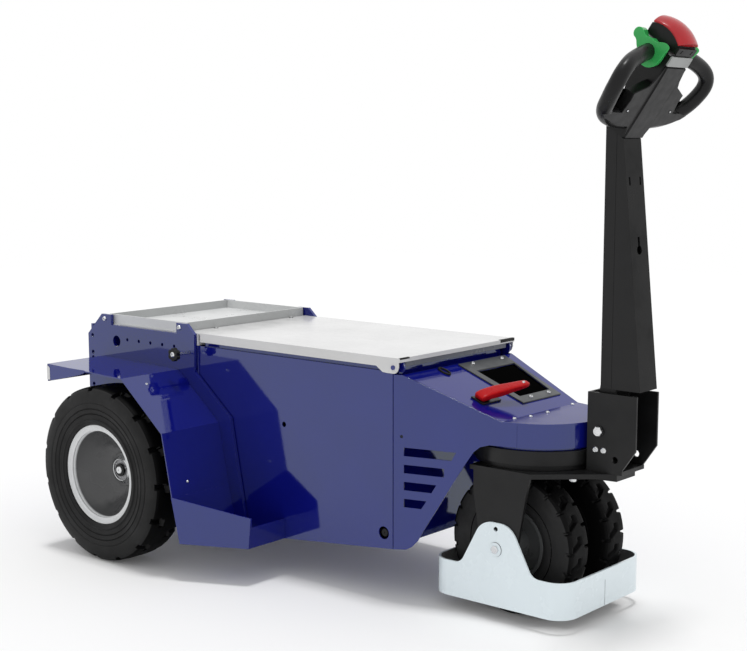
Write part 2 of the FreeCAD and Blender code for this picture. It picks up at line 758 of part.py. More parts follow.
def edges_along_y(shape, x, z):
    """Edges running across the machine at distance x from the steering axis, at height z."""
    found = []
    for e in shape.Edges:
        a, b = e.Vertexes[0].Point, e.Vertexes[-1].Point
        if abs(a.x - b.x) < 0.01 and abs(a.z - b.z) < 0.01 and abs(a.z - z) < 0.01:
            if abs(abs(a.x - steer_x) - x) < 0.01:
                found.append(e)
    return found


bell_block = bell_block.makeFillet(bell_top_round, edges_along_y(bell_block, bell_shoulder, bell_top))
bell_block = bell_block.makeFillet(bell_foot_round, edges_along_y(bell_block, bell_foot, bumper_top))
bumper = band.common(bell_block)
bumper = bumper.cut(rod(steer_x, -200, front_r, (0, 1, 0), front_axle_r + seat_gap, 400))
bumper = bumper.cut(rod(steer_x, -200, 195.0, (0, 1, 0), 5.0, 400))
write("bumper", bumper)

# ---------------------------------------------------------------- twin front wheels
def front_tyre(side):
    half = front_w / 2
    pts = [
        (front_rim_r, -half + 6), (front_r - 22, -half), (front_r - 6, -half + 4), (front_r, -half + 14),
        (front_r, half - 14), (front_r - 6, half - 4), (front_r - 22, half), (front_rim_r, half - 6),
    ]
    return ring_profile(pts, side * front_pair_half, steer_x, front_r)


def front_rim(side):
    half = front_w / 2
    pts = [
        (front_axle_r + running_gap, -half + 8), (front_hub_r, -half + 8), (front_hub_r + 4, -12),
        (front_rim_r - 12, -12), (front_rim_r - 8, -half + 8), (front_rim_r - seat_gap, -half + 7),
        (front_rim_r - seat_gap, half - 7), (front_rim_r - 8, half - 8), (front_rim_r - 12, 12),
        (front_hub_r + 4, 12), (front_hub_r, half + 6), (front_axle_r + running_gap, half + 6),
    ]
    return ring_profile([(r, side * y) for r, y in pts], side * front_pair_half, steer_x, front_r)


write("front_tyres", group([front_tyre(1), front_tyre(-1)]))
write("front_rims", group([front_rim(1), front_rim(-1)]))

# ================================================================ tiller
arm_gap = 0.3


def arm_top(x, drop=0.0):
    """The arm's top follows the slanted foot of the head."""
    return arm_top_z - drop + (arm_front_top_x - x) * math.tan(math.radians(head_tilt))


spine_outline = [
    (arm_rear_x, arm_bottom_z), (arm_seam_x, arm_bottom_z), (arm_seam_x, arm_top(arm_seam_x)),
    (arm_rear_x, arm_top(arm_rear_x))]
spine = side_plate([(gx(x), z) for x, z in spine_outline], -arm_half, arm_half)
spine_hollow = [
    (arm_rear_x + arm_t, arm_bottom_z - 5), (arm_seam_x + 5, arm_bottom_z - 5),
    (arm_seam_x + 5, arm_top(arm_seam_x + 5, arm_t)),
    (arm_rear_x + arm_t, arm_top(arm_rear_x + arm_t, arm_t))]
spine = spine.cut(side_plate([(gx(x), z) for x, z in spine_hollow], -arm_half + arm_t, arm_half - arm_t))
foot_outline = [
    (pivot_x - arm_boss_r, pivot_z), (pivot_x + arm_boss_r, pivot_z),
    (arm_seam_x + 12, arm_bottom_z + 30), (arm_rear_x + arm_t, arm_bottom_z + 30),
    (pivot_x - arm_boss_r, pivot_z + 30)]
foot = side_plate([(gx(x), z) for x, z in foot_outline], arm_half - 7 - arm_t, arm_half - arm_t)
foot = foot.fuse(rod(gx(pivot_x), arm_half - 7 - arm_t, pivot_z, (0, 1, 0), arm_boss_r, 7.0))
foot_bore = rod(gx(pivot_x), -100, pivot_z, (0, 1, 0), pivot_r + running_gap, 200)
spine = joined([spine, foot, mirrored(foot)]).cut(foot_bore)
write("tiller_spine", spine)

cover_outline = [
    (arm_seam_x + arm_gap, arm_bottom_z), (arm_front_bottom_x, arm_bottom_z),
    (arm_front_top_x, arm_top_z), (arm_seam_x + arm_gap, arm_top(arm_seam_x + arm_gap))]
arm_lean = (arm_front_top_x - arm_front_bottom_x) / (arm_top_z - arm_bottom_z)
wall_low_x = arm_front_bottom_x - arm_t - 5 * arm_lean
wall_high_x = arm_front_top_x - arm_t + 50 * arm_lean
hollow_outline = [
    (arm_seam_x - 5, arm_bottom_z - 5), (wall_low_x, arm_bottom_z - 5),
    (wall_high_x, arm_top_z + 50), (arm_seam_x - 5, arm_top_z + 50)]
cover = side_plate([(gx(x), z) for x, z in cover_outline], -arm_half, arm_half)
cover = cover.cut(side_plate([(gx(x), z) for x, z in hollow_outline], -arm_half + arm_t, arm_half - arm_t))
slot_z = 905.0
slot_x0 = gx(arm_seam_x + 8)
slot_x1 = gx(arm_front_bottom_x + 40)
for y in (-20.0, 20.0):
    cover = cover.cut(box(slot_x0, slot_x1, y - 2.5, y + 2.5, slot_z - 8, slot_z + 8))
cable_hole_z = 770.0
cover = cover.cut(rod(slot_x0, 0, cable_hole_z, (1, 0, 0), 9.0, 100))
cover = cover.cut(box(slot_x0, slot_x1, -3.5, 3.5, cable_hole_z, cable_hole_z + 26))
write("tiller_cover", cover)

# ---------------------------------------------------------------- tiller head
tilt = math.radians(head_tilt)


def head_point(s, n, y):
    """s up along the head, n out of its front face, y to the left."""
    x = head_base[0] + s * math.sin(tilt) + n * math.cos(tilt)
    z = head_base[1] + s * math.cos(tilt) - n * math.sin(tilt)
    return V(gx(x), y, z)


def head_slab(points, n0, n1):
    """Outline (s, y) on the head's face, thick from n0 to n1."""
    wire = Part.makePolygon([head_point(s, n0, y) for s, y in points + [points[0]]])
    out = head_point(0, 1, 0) - head_point(0, 0, 0)
    return Part.Face(wire).extrude(out * (n1 - n0))


def both_halves(points):
    """Close a left-hand outline (s, y) with its mirror image."""
    return points + [(s, -y) for s, y in reversed(points)]


def dome_point(angle, radius):
    """(s, n) at an angle from the face's normal, about the dome's centre."""
    a = math.radians(angle)
    return dome_centre[0] + radius * math.sin(a), dome_centre[1] + radius * math.cos(a)


def dome_arc(radius, a0, a1, y):
    ends = [head_point(*dome_point(a, radius), y) for a in (a0, (a0 + a1) / 2, a1)]
    return ends[0], Part.Arc(*ends).toShape(), ends[2]


def crowned_cap():
    """Band round the dome's axis with a crowned outer face."""
    low, edge, crown = dome_r + seat_gap, cap_edge_r, cap_edge_r + cap_crown

    def corner(radius, y):
        return head_point(*dome_point(cap_from, radius), y)

    outer = Part.Arc(corner(edge, -cap_half), corner(crown, 0), corner(edge, cap_half)).toShape()
    rest = Part.makePolygon([
        corner(edge, cap_half), corner(low, cap_half), corner(low, -cap_half), corner(edge, -cap_half)])
    section = Part.Face(Part.Wire(Part.__sortEdges__([outer] + rest.Edges)))
    return section.revolve(head_point(*dome_centre, 0), V(0, -1, 0), cap_to - cap_from)


face_n = -mask_t - seat_gap
dome_start = math.degrees(math.acos((face_n - dome_centre[1]) / dome_r))
dome_end = 117.3
side_profile = [
    dome_point(dome_end, dome_r), (188.0, -78.0), (130.0, -71.0), (62.0, -47.0), (0.0, -42.0),
    (0.0, face_n), (dome_point(dome_start, dome_r)[0], face_n),
]
sharp = Part.makePolygon([head_point(s, n, -60) for s, n in side_profile])
dome_top = dome_arc(dome_r, dome_start, dome_end, -60)[1]
side_wire = Part.Wire(Part.__sortEdges__(sharp.Edges + [dome_top]))
head_body = Part.Face(side_wire).extrude(V(0, 120, 0))
front_left = [
    (-1.0, head_half), (60.0, head_half + 1), (118.0, head_half + 2),
    (140.0, neck_half), (184.0, neck_half), (190.0, dome_half), (230.0, dome_half)]
head_body = head_body.common(head_slab(both_halves(front_left), -100, 20))

web_left = [
    (14.0, 30.0), (26.0, 44.0), (34.0, 97.0), (46.0, 140.0), (56.0, 150.0), (60.0, 128.0), (60.0, 96.0),
    (86.0, 91.0), (99.0, 92.0), (117.0, 53.0), (125.0, 30.0)]
web = head_slab(web_left, -21, face_n)
grip_path = [
    (170, -45, 30), (169, -43, 50), (166, -37, 78), (162, -30, 105), (156, -23, 130), (147.5, -15, 150),
    (135, -9, 163), (120, -6, 167), (102, -6, 165), (80, -8, 157), (64, -11, 148), (50, -14, 133),
    (38, -17, 108), (31, -18, 72), (29, -18, 30)]


def grip_tube(radius, side):
    pts = [head_point(s, n, side * y) for s, n, y in grip_path]
    curve = Part.BSplineCurve()
    curve.interpolate(pts)
    start = Part.Wire([Part.Circle(pts[0], curve.tangent(0)[0], radius).toShape()])
    return Part.Wire([curve.toShape()]).makePipeShell([start], True, False)


mask_left = [
    (2.0, 36.0), (26.0, 44.0), (32.0, 97.0), (44.0, 142.0), (54.0, 158.0), (59.0, 128.0), (58.0, 96.0),
    (85.0, 91.0), (101.0, 93.0), (118.0, 54.0), (132.0, 46.0), (161.0, 39.0)]
strip_left = [(2.0, 33.0), (118.0, 34.0), (161.0, 36.0)]
mask = head_slab(both_halves(mask_left), -mask_t, 0)
mask = joined([mask, head_slab(both_halves(strip_left), -1, mask_rise)])
mask_space = head_slab(both_halves([(s, y + 0.2) for s, y in mask_left]), face_n, 60)
head = joined([head_body, web, mirrored(web), grip_tube(grip_r, 1), grip_tube(grip_r, -1)])
head = head.cut(mask_space)
write("tiller_head", head)
write("head_mask", mask)

band_left = [(163.3, 37.0), (165.0, 40.0), (182.6, 40.0), (184.6, 37.0)]
write("head_band", head_slab(both_halves(band_left), face_n + 0.3, 1.0))
block_left = [(188.0, 31.5), (190.0, 34.5), (203.0, 34.5)]
block = head_slab(both_halves(block_left), face_n + 0.3, 1.5)
for y in (-19.0, 19.0):
    block = block.cut(head_slab([(192.5, y - 4), (199.5, y - 1), (199.5, y + 3), (192.5, y)], 0.0, 10))
write("head_switch", block)

write("stop_cap", crowned_cap())

rocker_in = dome_half + 0.6
rocker_out = neck_half + 17.0
rocker_root = [
    (174, -82), (180, -89), (188, -90), (194, -87), (195, -79), (189.5, -71), (187.5, -63), (191.5, -50),
    (189.5, -39), (194.5, -29), (194, -21), (189, -17.5), (180, -15.5), (168, -15), (155, -18), (147, -25),
    (142, -33), (143, -41), (150, -51), (158, -60), (167, -70)]
rocker_end = [
    (176, -81), (181, -88), (188.5, -89), (196, -84.5), (198, -77), (194, -69), (191, -61), (193.5, -50),
    (193, -39), (197.5, -28), (202, -16), (199, -6), (188, -7), (174, -9.5), (157, -12.5), (147.5, -20),
    (142.5, -32), (143, -41), (150, -51), (158, -60), (167, -70)]


def rocker_wire(path, y):
    curve = Part.BSplineCurve()
    curve.interpolate(Points=[head_point(s, n, y) for s, n in path], PeriodicFlag=True)
    return Part.Wire([curve.toShape()])


rocker = Part.makeLoft([rocker_wire(rocker_root, rocker_in), rocker_wire(rocker_end, rocker_out)], True)
rocker = rocker.cut(head_slab(both_halves([(s, y + 0.6) for s, y in front_left]), -100, 20))
rocker = rocker.cut(grip_tube(grip_r + seat_gap, 1))
write("rockers", pair(rocker))

# ================================================================ lever on the hood
def hood_z(x):
    return hood_rear_z - (x - hood_rear_x) * hood_slope


lever_x = hood_rear_x + 137.0
lever_z = hood_z(lever_x)
lever_foot_h = 4.0
lever_h = 17.0
lever_root_y = -121.0
lever_tip_y = 11.0
lever_boss_y = lever_root_y + 36.0
lever_rise = 13.0
lever_turn = 15.0
lever_half = 17.0


def on_hood(shape):
    """Lean a level shape at the lever to the hood's slope."""
    shape.rotate(V(gx(lever_x), 0, lever_z), V(0, 1, 0), math.degrees(hood_tilt))
    return shape


foot_block = box(
    gx(lever_x) - lever_half, gx(lever_x) + lever_half, lever_root_y, lever_root_y + 64,
    lever_z + seat_gap, lever_z + lever_foot_h)
write("lever_base", on_hood(foot_block))
lever_low = lever_z + lever_foot_h + seat_gap
lever_high = lever_low + lever_h
lever_plan = [
    (-15, lever_root_y), (15, lever_root_y), (16, lever_root_y + 50), (12, lever_root_y + 85),
    (11, lever_tip_y - 14), (6, lever_tip_y),
    (-6, lever_tip_y), (-11, lever_tip_y - 14), (-12, lever_root_y + 85), (-16, lever_root_y + 50)]
lever = level_plate([(gx(lever_x) + x, y) for x, y in lever_plan], lever_low, lever_high)
lever_side = [
    (lever_root_y - 5, lever_low + 2), (lever_root_y - 5, lever_high - 6),
    (lever_root_y + 14, lever_high), (lever_root_y + 55, lever_high), (lever_tip_y + 5, lever_high - 4),
    (lever_tip_y + 5, lever_low + 5), (lever_root_y + 70, lever_low + 1)]
lever = lever.common(cross_plate(lever_side, gx(lever_x) - 40, gx(lever_x) + 40))
lever = lever.cut(rod(gx(lever_x), lever_tip_y - 14, lever_z, (0, 0, 1), 3.5, 60))
lever_pivot = V(gx(lever_x), lever_root_y, lever_low)
lever.rotate(lever_pivot, V(1, 0, 0), lever_rise)
lever.rotate(lever_pivot, V(0, 0, 1), -lever_turn)
lever_boss = box(
    gx(lever_x) - 14, gx(lever_x) + 14, lever_root_y, lever_boss_y, lever_low, lever_high - 5)
lever = joined([lever, lever_boss])
write("pull_lever", on_hood(lever))
bezel_x0 = screen_x0 - 35.0
bezel_x1 = screen_x1 + 23.0
bezel_plan = [(gx(bezel_x0), -12.0), (gx(bezel_x1), -12.0), (gx(bezel_x1), 131.0), (gx(bezel_x0), 163.0)]
def hood_layer(above, thick):
    """Slab lying along the hood's slope, its underside this far above the hood."""
    xa, xb = hood_rear_x - 12, hood_front_x - 8
    points = [
        (xa, hood_z(xa) + above), (xb, hood_z(xb) + above),
        (xb, hood_z(xb) + above + thick), (xa, hood_z(xa) + above + thick)]
    return side_plate([(gx(x), z) for x, z in points], -body_half, body_half)


bezel_t = 3.0
bezel_block = hood_layer(seat_gap, bezel_t)
bezel = bezel_block.common(level_plate(bezel_plan, 380, 600)).cut(level_plate(screen_plan, 380, 600))
write("display_bezel", bezel)
pan_h = 14.7
hood_drop = hood_t + seat_gap
screen_block = hood_layer(-hood_drop - pan_h, pan_h)
big_plan = [
    (gx(screen_x0 - 10), -2.0), (gx(screen_x1 + 10), -2.0),
    (gx(screen_x1 + 10), 129.0), (gx(screen_x0 - 10), 159.0)]
pan = screen_block.common(level_plate(big_plan, 380, 600))
pan_hollow = screen_block.translated(V(0, 0, 3)).common(level_plate(screen_plan, 380, 600))
write("display_pan", pan.cut(pan_hollow))
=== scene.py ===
import json
import math

import bmesh
import bpy
from mathutils import Matrix, Vector


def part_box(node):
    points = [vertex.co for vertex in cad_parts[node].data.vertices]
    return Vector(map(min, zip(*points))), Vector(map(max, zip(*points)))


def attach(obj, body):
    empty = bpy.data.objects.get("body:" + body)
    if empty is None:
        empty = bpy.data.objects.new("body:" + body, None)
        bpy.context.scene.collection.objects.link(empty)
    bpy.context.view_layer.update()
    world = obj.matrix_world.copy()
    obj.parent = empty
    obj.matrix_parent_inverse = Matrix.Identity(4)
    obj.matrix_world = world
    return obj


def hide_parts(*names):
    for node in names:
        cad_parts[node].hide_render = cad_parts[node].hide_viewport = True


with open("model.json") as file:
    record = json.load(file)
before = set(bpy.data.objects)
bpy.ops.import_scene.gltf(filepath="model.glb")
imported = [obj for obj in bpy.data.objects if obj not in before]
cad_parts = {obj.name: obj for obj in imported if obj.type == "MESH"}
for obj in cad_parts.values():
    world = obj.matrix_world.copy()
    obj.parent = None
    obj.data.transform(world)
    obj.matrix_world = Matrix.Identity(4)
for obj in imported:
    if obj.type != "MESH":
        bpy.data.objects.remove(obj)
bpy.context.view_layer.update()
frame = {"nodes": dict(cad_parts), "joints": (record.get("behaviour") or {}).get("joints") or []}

# Looks of a walk-behind electric tug, in metres, with +X forward, +Y left and +Z up.

NODES = frame["nodes"]
JOINT_AT = {j["name"]: Vector(j["pos_m"]) for j in frame["joints"]}
REAR_X = JOINT_AT["rear_wheel_left_spin"].x
X_AXIS, Y_AXIS, Z_AXIS = Vector((1, 0, 0)), Vector((0, 1, 0)), Vector((0, 0, 1))


def at(x, y, z):
    """Point given in millimetres from the rear axle, across and above the ground."""
    return Vector((REAR_X + x / 1000, y / 1000, z / 1000))


# ------------------------------------------------------------------ material tools
class Shader:
    """A Principled material built node by node, textured in the piece's own space."""

    def __init__(self, name):
        self.material = bpy.data.materials.new(name)
        self.material.use_nodes = True
        self.tree = self.material.node_tree
        self.principled = self.tree.nodes["Principled BSDF"]
        self.coords = self.add("ShaderNodeTexCoord").outputs["Object"]

    def add(self, kind, **settings):
        node = self.tree.nodes.new(kind)
        for key, value in settings.items():
            setattr(node, key, value)
        return node

    def feed(self, socket, value):
        if isinstance(value, bpy.types.NodeSocket):
            self.tree.links.new(value, socket)
        elif isinstance(value, (tuple, list)) and len(value) == 3 and socket.type == "RGBA":
            socket.default_value = (*value, 1.0)
        else:
            socket.default_value = value

    def set(self, **values):
        """Set or link sockets of the Principled shader, written with _ for spaces."""
        for key, value in values.items():
            self.feed(self.principled.inputs[key.replace("_", " ")], value)
        return self

    def noise(self, scale, detail=3.0, roughness=0.55, stretch=(1, 1, 1)):
        place = self.add("ShaderNodeMapping")
        place.inputs["Scale"].default_value = stretch
        self.feed(place.inputs["Vector"], self.coords)
        node = self.add("ShaderNodeTexNoise")
        self.feed(node.inputs["Vector"], place.outputs["Vector"])
        node.inputs["Scale"].default_value = scale
        node.inputs["Detail"].default_value = detail
        node.inputs["Roughness"].default_value = roughness
        return node.outputs["Fac"]

    def span(self, value, low, high, to_low=0.0, to_high=1.0):
        node = self.add("ShaderNodeMapRange", interpolation_type="SMOOTHSTEP")
        self.feed(node.inputs["Value"], value)
        ends = {"From Min": low, "From Max": high, "To Min": to_low, "To Max": to_high}
        for key, number in ends.items():
            node.inputs[key].default_value = number
        return node.outputs["Result"]

    def math(self, operation, a, b=0.0):
        node = self.add("ShaderNodeMath", operation=operation)
        self.feed(node.inputs[0], a)
        self.feed(node.inputs[1], b)
        return node.outputs["Value"]

    def blend(self, factor, a, b):
        node = self.add("ShaderNodeMix", data_type="RGBA")
        self.feed(node.inputs["Factor"], factor)
        self.feed(node.inputs[6], a)
        self.feed(node.inputs[7], b)
        return node.outputs[2]

    def bump(self, *layers):
        """Each layer is (height, strength, distance in metres)."""
        normal = None
        for height, strength, distance in layers:
            node = self.add("ShaderNodeBump")
            node.inputs["Strength"].default_value = strength
            node.inputs["Distance"].default_value = distance
            self.feed(node.inputs["Height"], height)
            if normal is not None:
                self.feed(node.inputs["Normal"], normal)
            normal = node.outputs["Normal"]
        self.feed(self.principled.inputs["Normal"], normal)
        return self

    def edges(self, radius, low=0.02, high=0.25):
        """1 along worn edges, 0 on flats."""
        soft = self.add("ShaderNodeBevel", samples=4)
        soft.inputs["Radius"].default_value = radius
        true = self.add("ShaderNodeNewGeometry").outputs["Normal"]
        dot = self.add("ShaderNodeVectorMath", operation="DOT_PRODUCT")
        self.feed(dot.inputs[0], soft.outputs["Normal"])
        self.feed(dot.inputs[1], true)
        return self.span(self.math("SUBTRACT", 1.0, dot.outputs["Value"]), low, high)

    def radius_about(self, centre):
        """Distance from a wheel's axle line, which runs along Y."""
        shift = self.add("ShaderNodeVectorMath", operation="SUBTRACT")
        self.feed(shift.inputs[0], self.coords)
        shift.inputs[1].default_value = centre
        flat = self.add("ShaderNodeVectorMath", operation="MULTIPLY")
        self.feed(flat.inputs[0], shift.outputs["Vector"])
        flat.inputs[1].default_value = (1, 0, 1)
        size = self.add("ShaderNodeVectorMath", operation="LENGTH")
        self.feed(size.inputs[0], flat.outputs["Vector"])
        return size.outputs["Value"]


def shade(colour, factor):
    return tuple(min(1.0, c * factor) for c in colour)


def coated_steel(name, colour, roughness, peel=0.05, wear=0.35, primer=(0.25, 0.25, 0.27), shine=0.5,
                 tint=(1, 1, 1), cloud=0.05):
    """Painted sheet: orange peel, faint dust, cloudy gloss and paint thinned along edges."""
    s = Shader(name)
    grain = s.noise(260.0, 2.0)
    body = s.blend(s.span(s.noise(5.0, 4.0), 0.3, 0.7), shade(colour, 1 - cloud), shade(colour, 1 + cloud))
    chips = s.math("MULTIPLY", s.edges(0.0012), s.span(s.noise(140.0, 4.0), 0.52, 0.68, 0.0, wear))
    s.set(Base_Color=s.blend(chips, body, primer))
    s.set(Roughness=s.span(s.noise(16.0, 5.0), 0.3, 0.75, roughness * 0.75, roughness * 1.35), IOR=1.5)
    s.set(Specular_IOR_Level=shine, Specular_Tint=(*tint, 1.0))
    return s.bump((grain, peel, 0.0006), (s.noise(38.0, 2.0), peel * 0.5, 0.0012)).material


def moulded_plastic(name, colour, roughness, grain=0.18, grain_scale=1400.0, shine=0.3, rub_and_highlight=0.3,
                    rub_and_highlight_width=0.0016):
    """Moulded plastic with a fine leathery grain and lighter edges, partly rubbed wear and partly painted
    highlight.
    """
    s = Shader(name)
    fine = s.noise(grain_scale, 3.0)
    cloud = s.noise(22.0, 3.0)
    rubbed_and_highlit = s.edges(rub_and_highlight_width, 0.03, 0.3)
    body = s.blend(s.span(cloud, 0.3, 0.7), shade(colour, 0.94), shade(colour, 1.06))
    # Edges are lightened: rubbed wear plus painted highlight.
    s.set(Base_Color=s.blend(s.math("MULTIPLY", rubbed_and_highlit, rub_and_highlight), body, shade(colour, 1.6)), IOR=1.48)
    s.set(Specular_IOR_Level=shine)
    s.set(Roughness=s.span(s.noise(60.0, 3.0), 0.3, 0.7, roughness * 0.85, roughness * 1.15))
    return s.bump((fine, grain, 0.0003)).material


def mask_moulding(name, colour, roughness):
    """Grained cover whose raised middle has painted shade, a darker band, along each side fold."""
    s = Shader(name)
    split = s.add("ShaderNodeSeparateXYZ")
    s.feed(split.inputs[0], s.coords)
    across = s.math("ABSOLUTE", split.outputs["Y"])
    # Painted shade in the fold along each side of the raised middle.
    fold_shade = s.math("MULTIPLY", s.span(across, 0.0325, 0.0345), s.span(across, 0.0370, 0.0480, 1.0, 0.0))
    body = s.blend(s.span(s.noise(9.0, 2.0), 0.3, 0.7), shade(colour, 0.96), shade(colour, 1.04))
    s.set(Base_Color=s.blend(s.math("MULTIPLY", fold_shade, 0.75), body, (0.002, 0.002, 0.002)), IOR=1.48)
    s.set(Specular_IOR_Level=0.24)
    s.set(Roughness=s.span(s.noise(60.0, 3.0), 0.3, 0.7, roughness * 0.9, roughness * 1.1))
    return s.bump((s.noise(1600.0, 3.0), 0.10, 0.0002)).material


def tyre_rubber(name, colour, dust, shine=0.22):
    """Cured rubber: mould bloom in soft patches, fine grain, scuffs and a little dust."""
    s = Shader(name)
    bloom = s.noise(14.0, 5.0, 0.6)
    scuff = s.noise(90.0, 4.0, 0.7, (1, 4, 1))
    body = s.blend(s.span(bloom, 0.35, 0.7), shade(colour, 0.8), shade(colour, 1.25))
    s.set(Base_Color=s.blend(s.span(scuff, 0.6, 0.8, 0.0, 0.25), body, dust))
    s.set(IOR=1.5, Specular_IOR_Level=shine)
    s.set(Roughness=s.span(bloom, 0.3, 0.7, 0.62, 0.48))
    return s.bump((s.noise(700.0, 3.0), 0.25, 0.0005), (scuff, 0.12, 0.0008)).material


def bare_metal(name, colour, roughness, brushed=(1, 1, 1)):
    """Zinc plate or machined steel with fine brushed lines and cloudy gloss."""
    s = Shader(name)
    lines = s.noise(420.0, 4.0, 0.65, brushed)
    cloud = s.noise(70.0, 3.0)
    s.set(Base_Color=s.blend(cloud, shade(colour, 0.85), colour), Metallic=1.0)
    s.set(Roughness=s.span(lines, 0.3, 0.7, roughness * 0.7, roughness * 1.3))
    return s.bump((lines, 0.06, 0.0003)).material


def rear_rim_finish(name, centre, band, band_colour, dish_colour):
    """Painted rim: bright lip outside the step, darker dish inside it."""
    s = Shader(name)
    inside = s.span(s.radius_about(centre), band - 0.0015, band, 1.0, 0.0)
    cloud = s.span(s.noise(11.0, 2.0), 0.3, 0.7)
    lip = s.blend(cloud, shade(band_colour, 0.97), band_colour)
    dish = s.blend(cloud, shade(dish_colour, 0.98), shade(dish_colour, 1.02))
    s.set(Base_Color=s.blend(inside, lip, dish), Roughness=s.span(cloud, 0.0, 1.0, 0.22, 0.36), IOR=1.5)
    return s.bump((s.noise(320.0, 2.0), 0.05, 0.0005)).material


def screen_glass(name):
    """Unlit display behind dark glass, with a faint smear."""
    s = Shader(name)
    smear = s.noise(12.0, 5.0, 0.6, (1, 3, 1))
    s.set(Base_Color=s.blend(smear, (0.0001, 0.0001, 0.0001), (0.0003, 0.0003, 0.0003)), IOR=1.5)
    s.set(Specular_IOR_Level=0.0005)
    s.set(Roughness=s.span(smear, 0.35, 0.7, 0.03, 0.12))
    return s.bump((s.noise(30.0, 2.0), 0.02, 0.0005)).material


MATERIALS = {
    "blue": coated_steel(
        "blue_gloss_paint", (0.0044, 0.0066, 0.165), 0.055, 0.03, 0.35, shine=0.92, tint=(0.78, 0.90, 1.0)),
    # A copy of the blue paint with weaker reflection and a slightly bluer base: painted shade on the hood's
    # upward faces.
    "blue_hood": coated_steel(
        "blue_hood_painted_shade", (0.0040, 0.0070, 0.175), 0.09, 0.03, 0.35, shine=0.34, tint=(0.80, 0.90, 1.0)),
    # A copy of the blue paint with almost no reflection: painted shade on the nose's level top.
    "blue_level": coated_steel(
        "blue_level_painted_shade", (0.0040, 0.0070, 0.165), 0.12, 0.03, 0.35, shine=0.06, tint=(0.80, 0.90, 1.0)),
    "lid_white": coated_steel("white_gloss_paint", (0.66, 0.66, 0.66), 0.20, 0.03, 0.1),
    "tray_grey": coated_steel("pale_grey_paint", (0.66, 0.67, 0.67), 0.34, 0.04, 0.15),
    # A darker copy of the pale grey: painted shade on the tray's forward faces.
    "tray_shade": coated_steel("tray_front_painted_shade", (0.44, 0.45, 0.45), 0.34, 0.04, 0.15),
    "bar_grey": coated_steel("mid_grey_paint", (0.10, 0.11, 0.14), 0.30, 0.05, 0.2),
    "wheel_grey": coated_steel("dark_wheel_paint", (0.085, 0.088, 0.090), 0.34, 0.05, 0.2, shine=0.3),
    "bumper": coated_steel("bumper_enamel", (0.82, 0.91, 0.95), 0.24, 0.02, 0.1, cloud=0.02),
    "bumper_inside": coated_steel("bumper_inside_coat", (0.11, 0.11, 0.11), 0.45, 0.08, 0.1, shine=0.3),
    "black_coat": coated_steel(
        "black_powder_coat", (0.0075, 0.0075, 0.0078), 0.40, 0.12, 0.2, (0.10, 0.10, 0.10), shine=0.27),
    "bezel": coated_steel("anthracite_plate", (0.050, 0.054, 0.058), 0.40, 0.06, 0.2, shine=0.35),
    # A darker, less shiny copy of the black coat: painted shade on the tiller's forward faces.
    "black_front": coated_steel(
        "black_front_painted_shade", (0.0055, 0.0055, 0.0057), 0.36, 0.10, 0.2, (0.10, 0.10, 0.10), shine=0.10),
    "black_plastic": moulded_plastic("black_moulding", (0.0062, 0.0062, 0.0065), 0.32, 0.08, shine=0.24),
    "mask_plastic": mask_moulding("anthracite_moulding", (0.0165, 0.0165, 0.0172), 0.48),
    "band_plastic": moulded_plastic("grey_moulding", (0.31, 0.32, 0.315), 0.40, 0.12),
    "red": moulded_plastic("red_moulding", (0.41, 0.011, 0.017), 0.20, 0.05, shine=0.38, rub_and_highlight=0.8),
    "lever_red": moulded_plastic("lever_red_moulding", (0.43, 0.005, 0.007), 0.28, 0.08, shine=0.10),
    # The green rockers get strong, wide lighter edges: rubbed wear plus painted highlight.
    "green": moulded_plastic(
        "green_moulding", (0.040, 0.40, 0.095), 0.30, 0.06, shine=0.35, rub_and_highlight=1.0, rub_and_highlight_width=0.0028),
    "rubber": tyre_rubber("tyre_rubber", (0.0060, 0.0060, 0.0063), (0.022, 0.021, 0.020)),
    # A darker, duller copy of the tyre rubber: painted shade on the front tread.
    "tread": tyre_rubber("front_tread_painted_shade", (0.0030, 0.0030, 0.0032), (0.012, 0.012, 0.011), 0.08),
    # A darker copy of the tyre rubber: painted shade on the rear tread under the fenders.
    "rear_tread_shaded": tyre_rubber("rear_tread_painted_shade", (0.0016, 0.0016, 0.0017), (0.006, 0.006, 0.006), 0.05),
    # A lighter copy of the tyre rubber: painted light on the front sidewalls, which sit in shade.
    "sidewall": tyre_rubber("front_sidewall_painted_light", (0.0190, 0.0190, 0.0195), (0.040, 0.039, 0.037), 0.22),
    "grommet": moulded_plastic("grommet_rubber", (0.006, 0.006, 0.006), 0.6),
    "zinc": bare_metal("zinc_plate", (0.72, 0.73, 0.74), 0.24),
    "axle": bare_metal("axle_steel", (0.28, 0.28, 0.29), 0.34, (1, 0.1, 1)),
    "glass": screen_glass("display_glass"),
    "battery": moulded_plastic("battery_case", (0.02, 0.02, 0.022), 0.55),
}
DISH_STEP = 0.102
LIP_COLOUR, DISH_COLOUR = (0.70, 0.71, 0.72), (0.078, 0.079, 0.081)
for side in ("left", "right"):
    MATERIALS["rim_" + side] = rear_rim_finish(
        "rear_rim_paint_" + side, JOINT_AT["rear_wheel_%s_spin" % side], DISH_STEP, LIP_COLOUR, DISH_COLOUR)

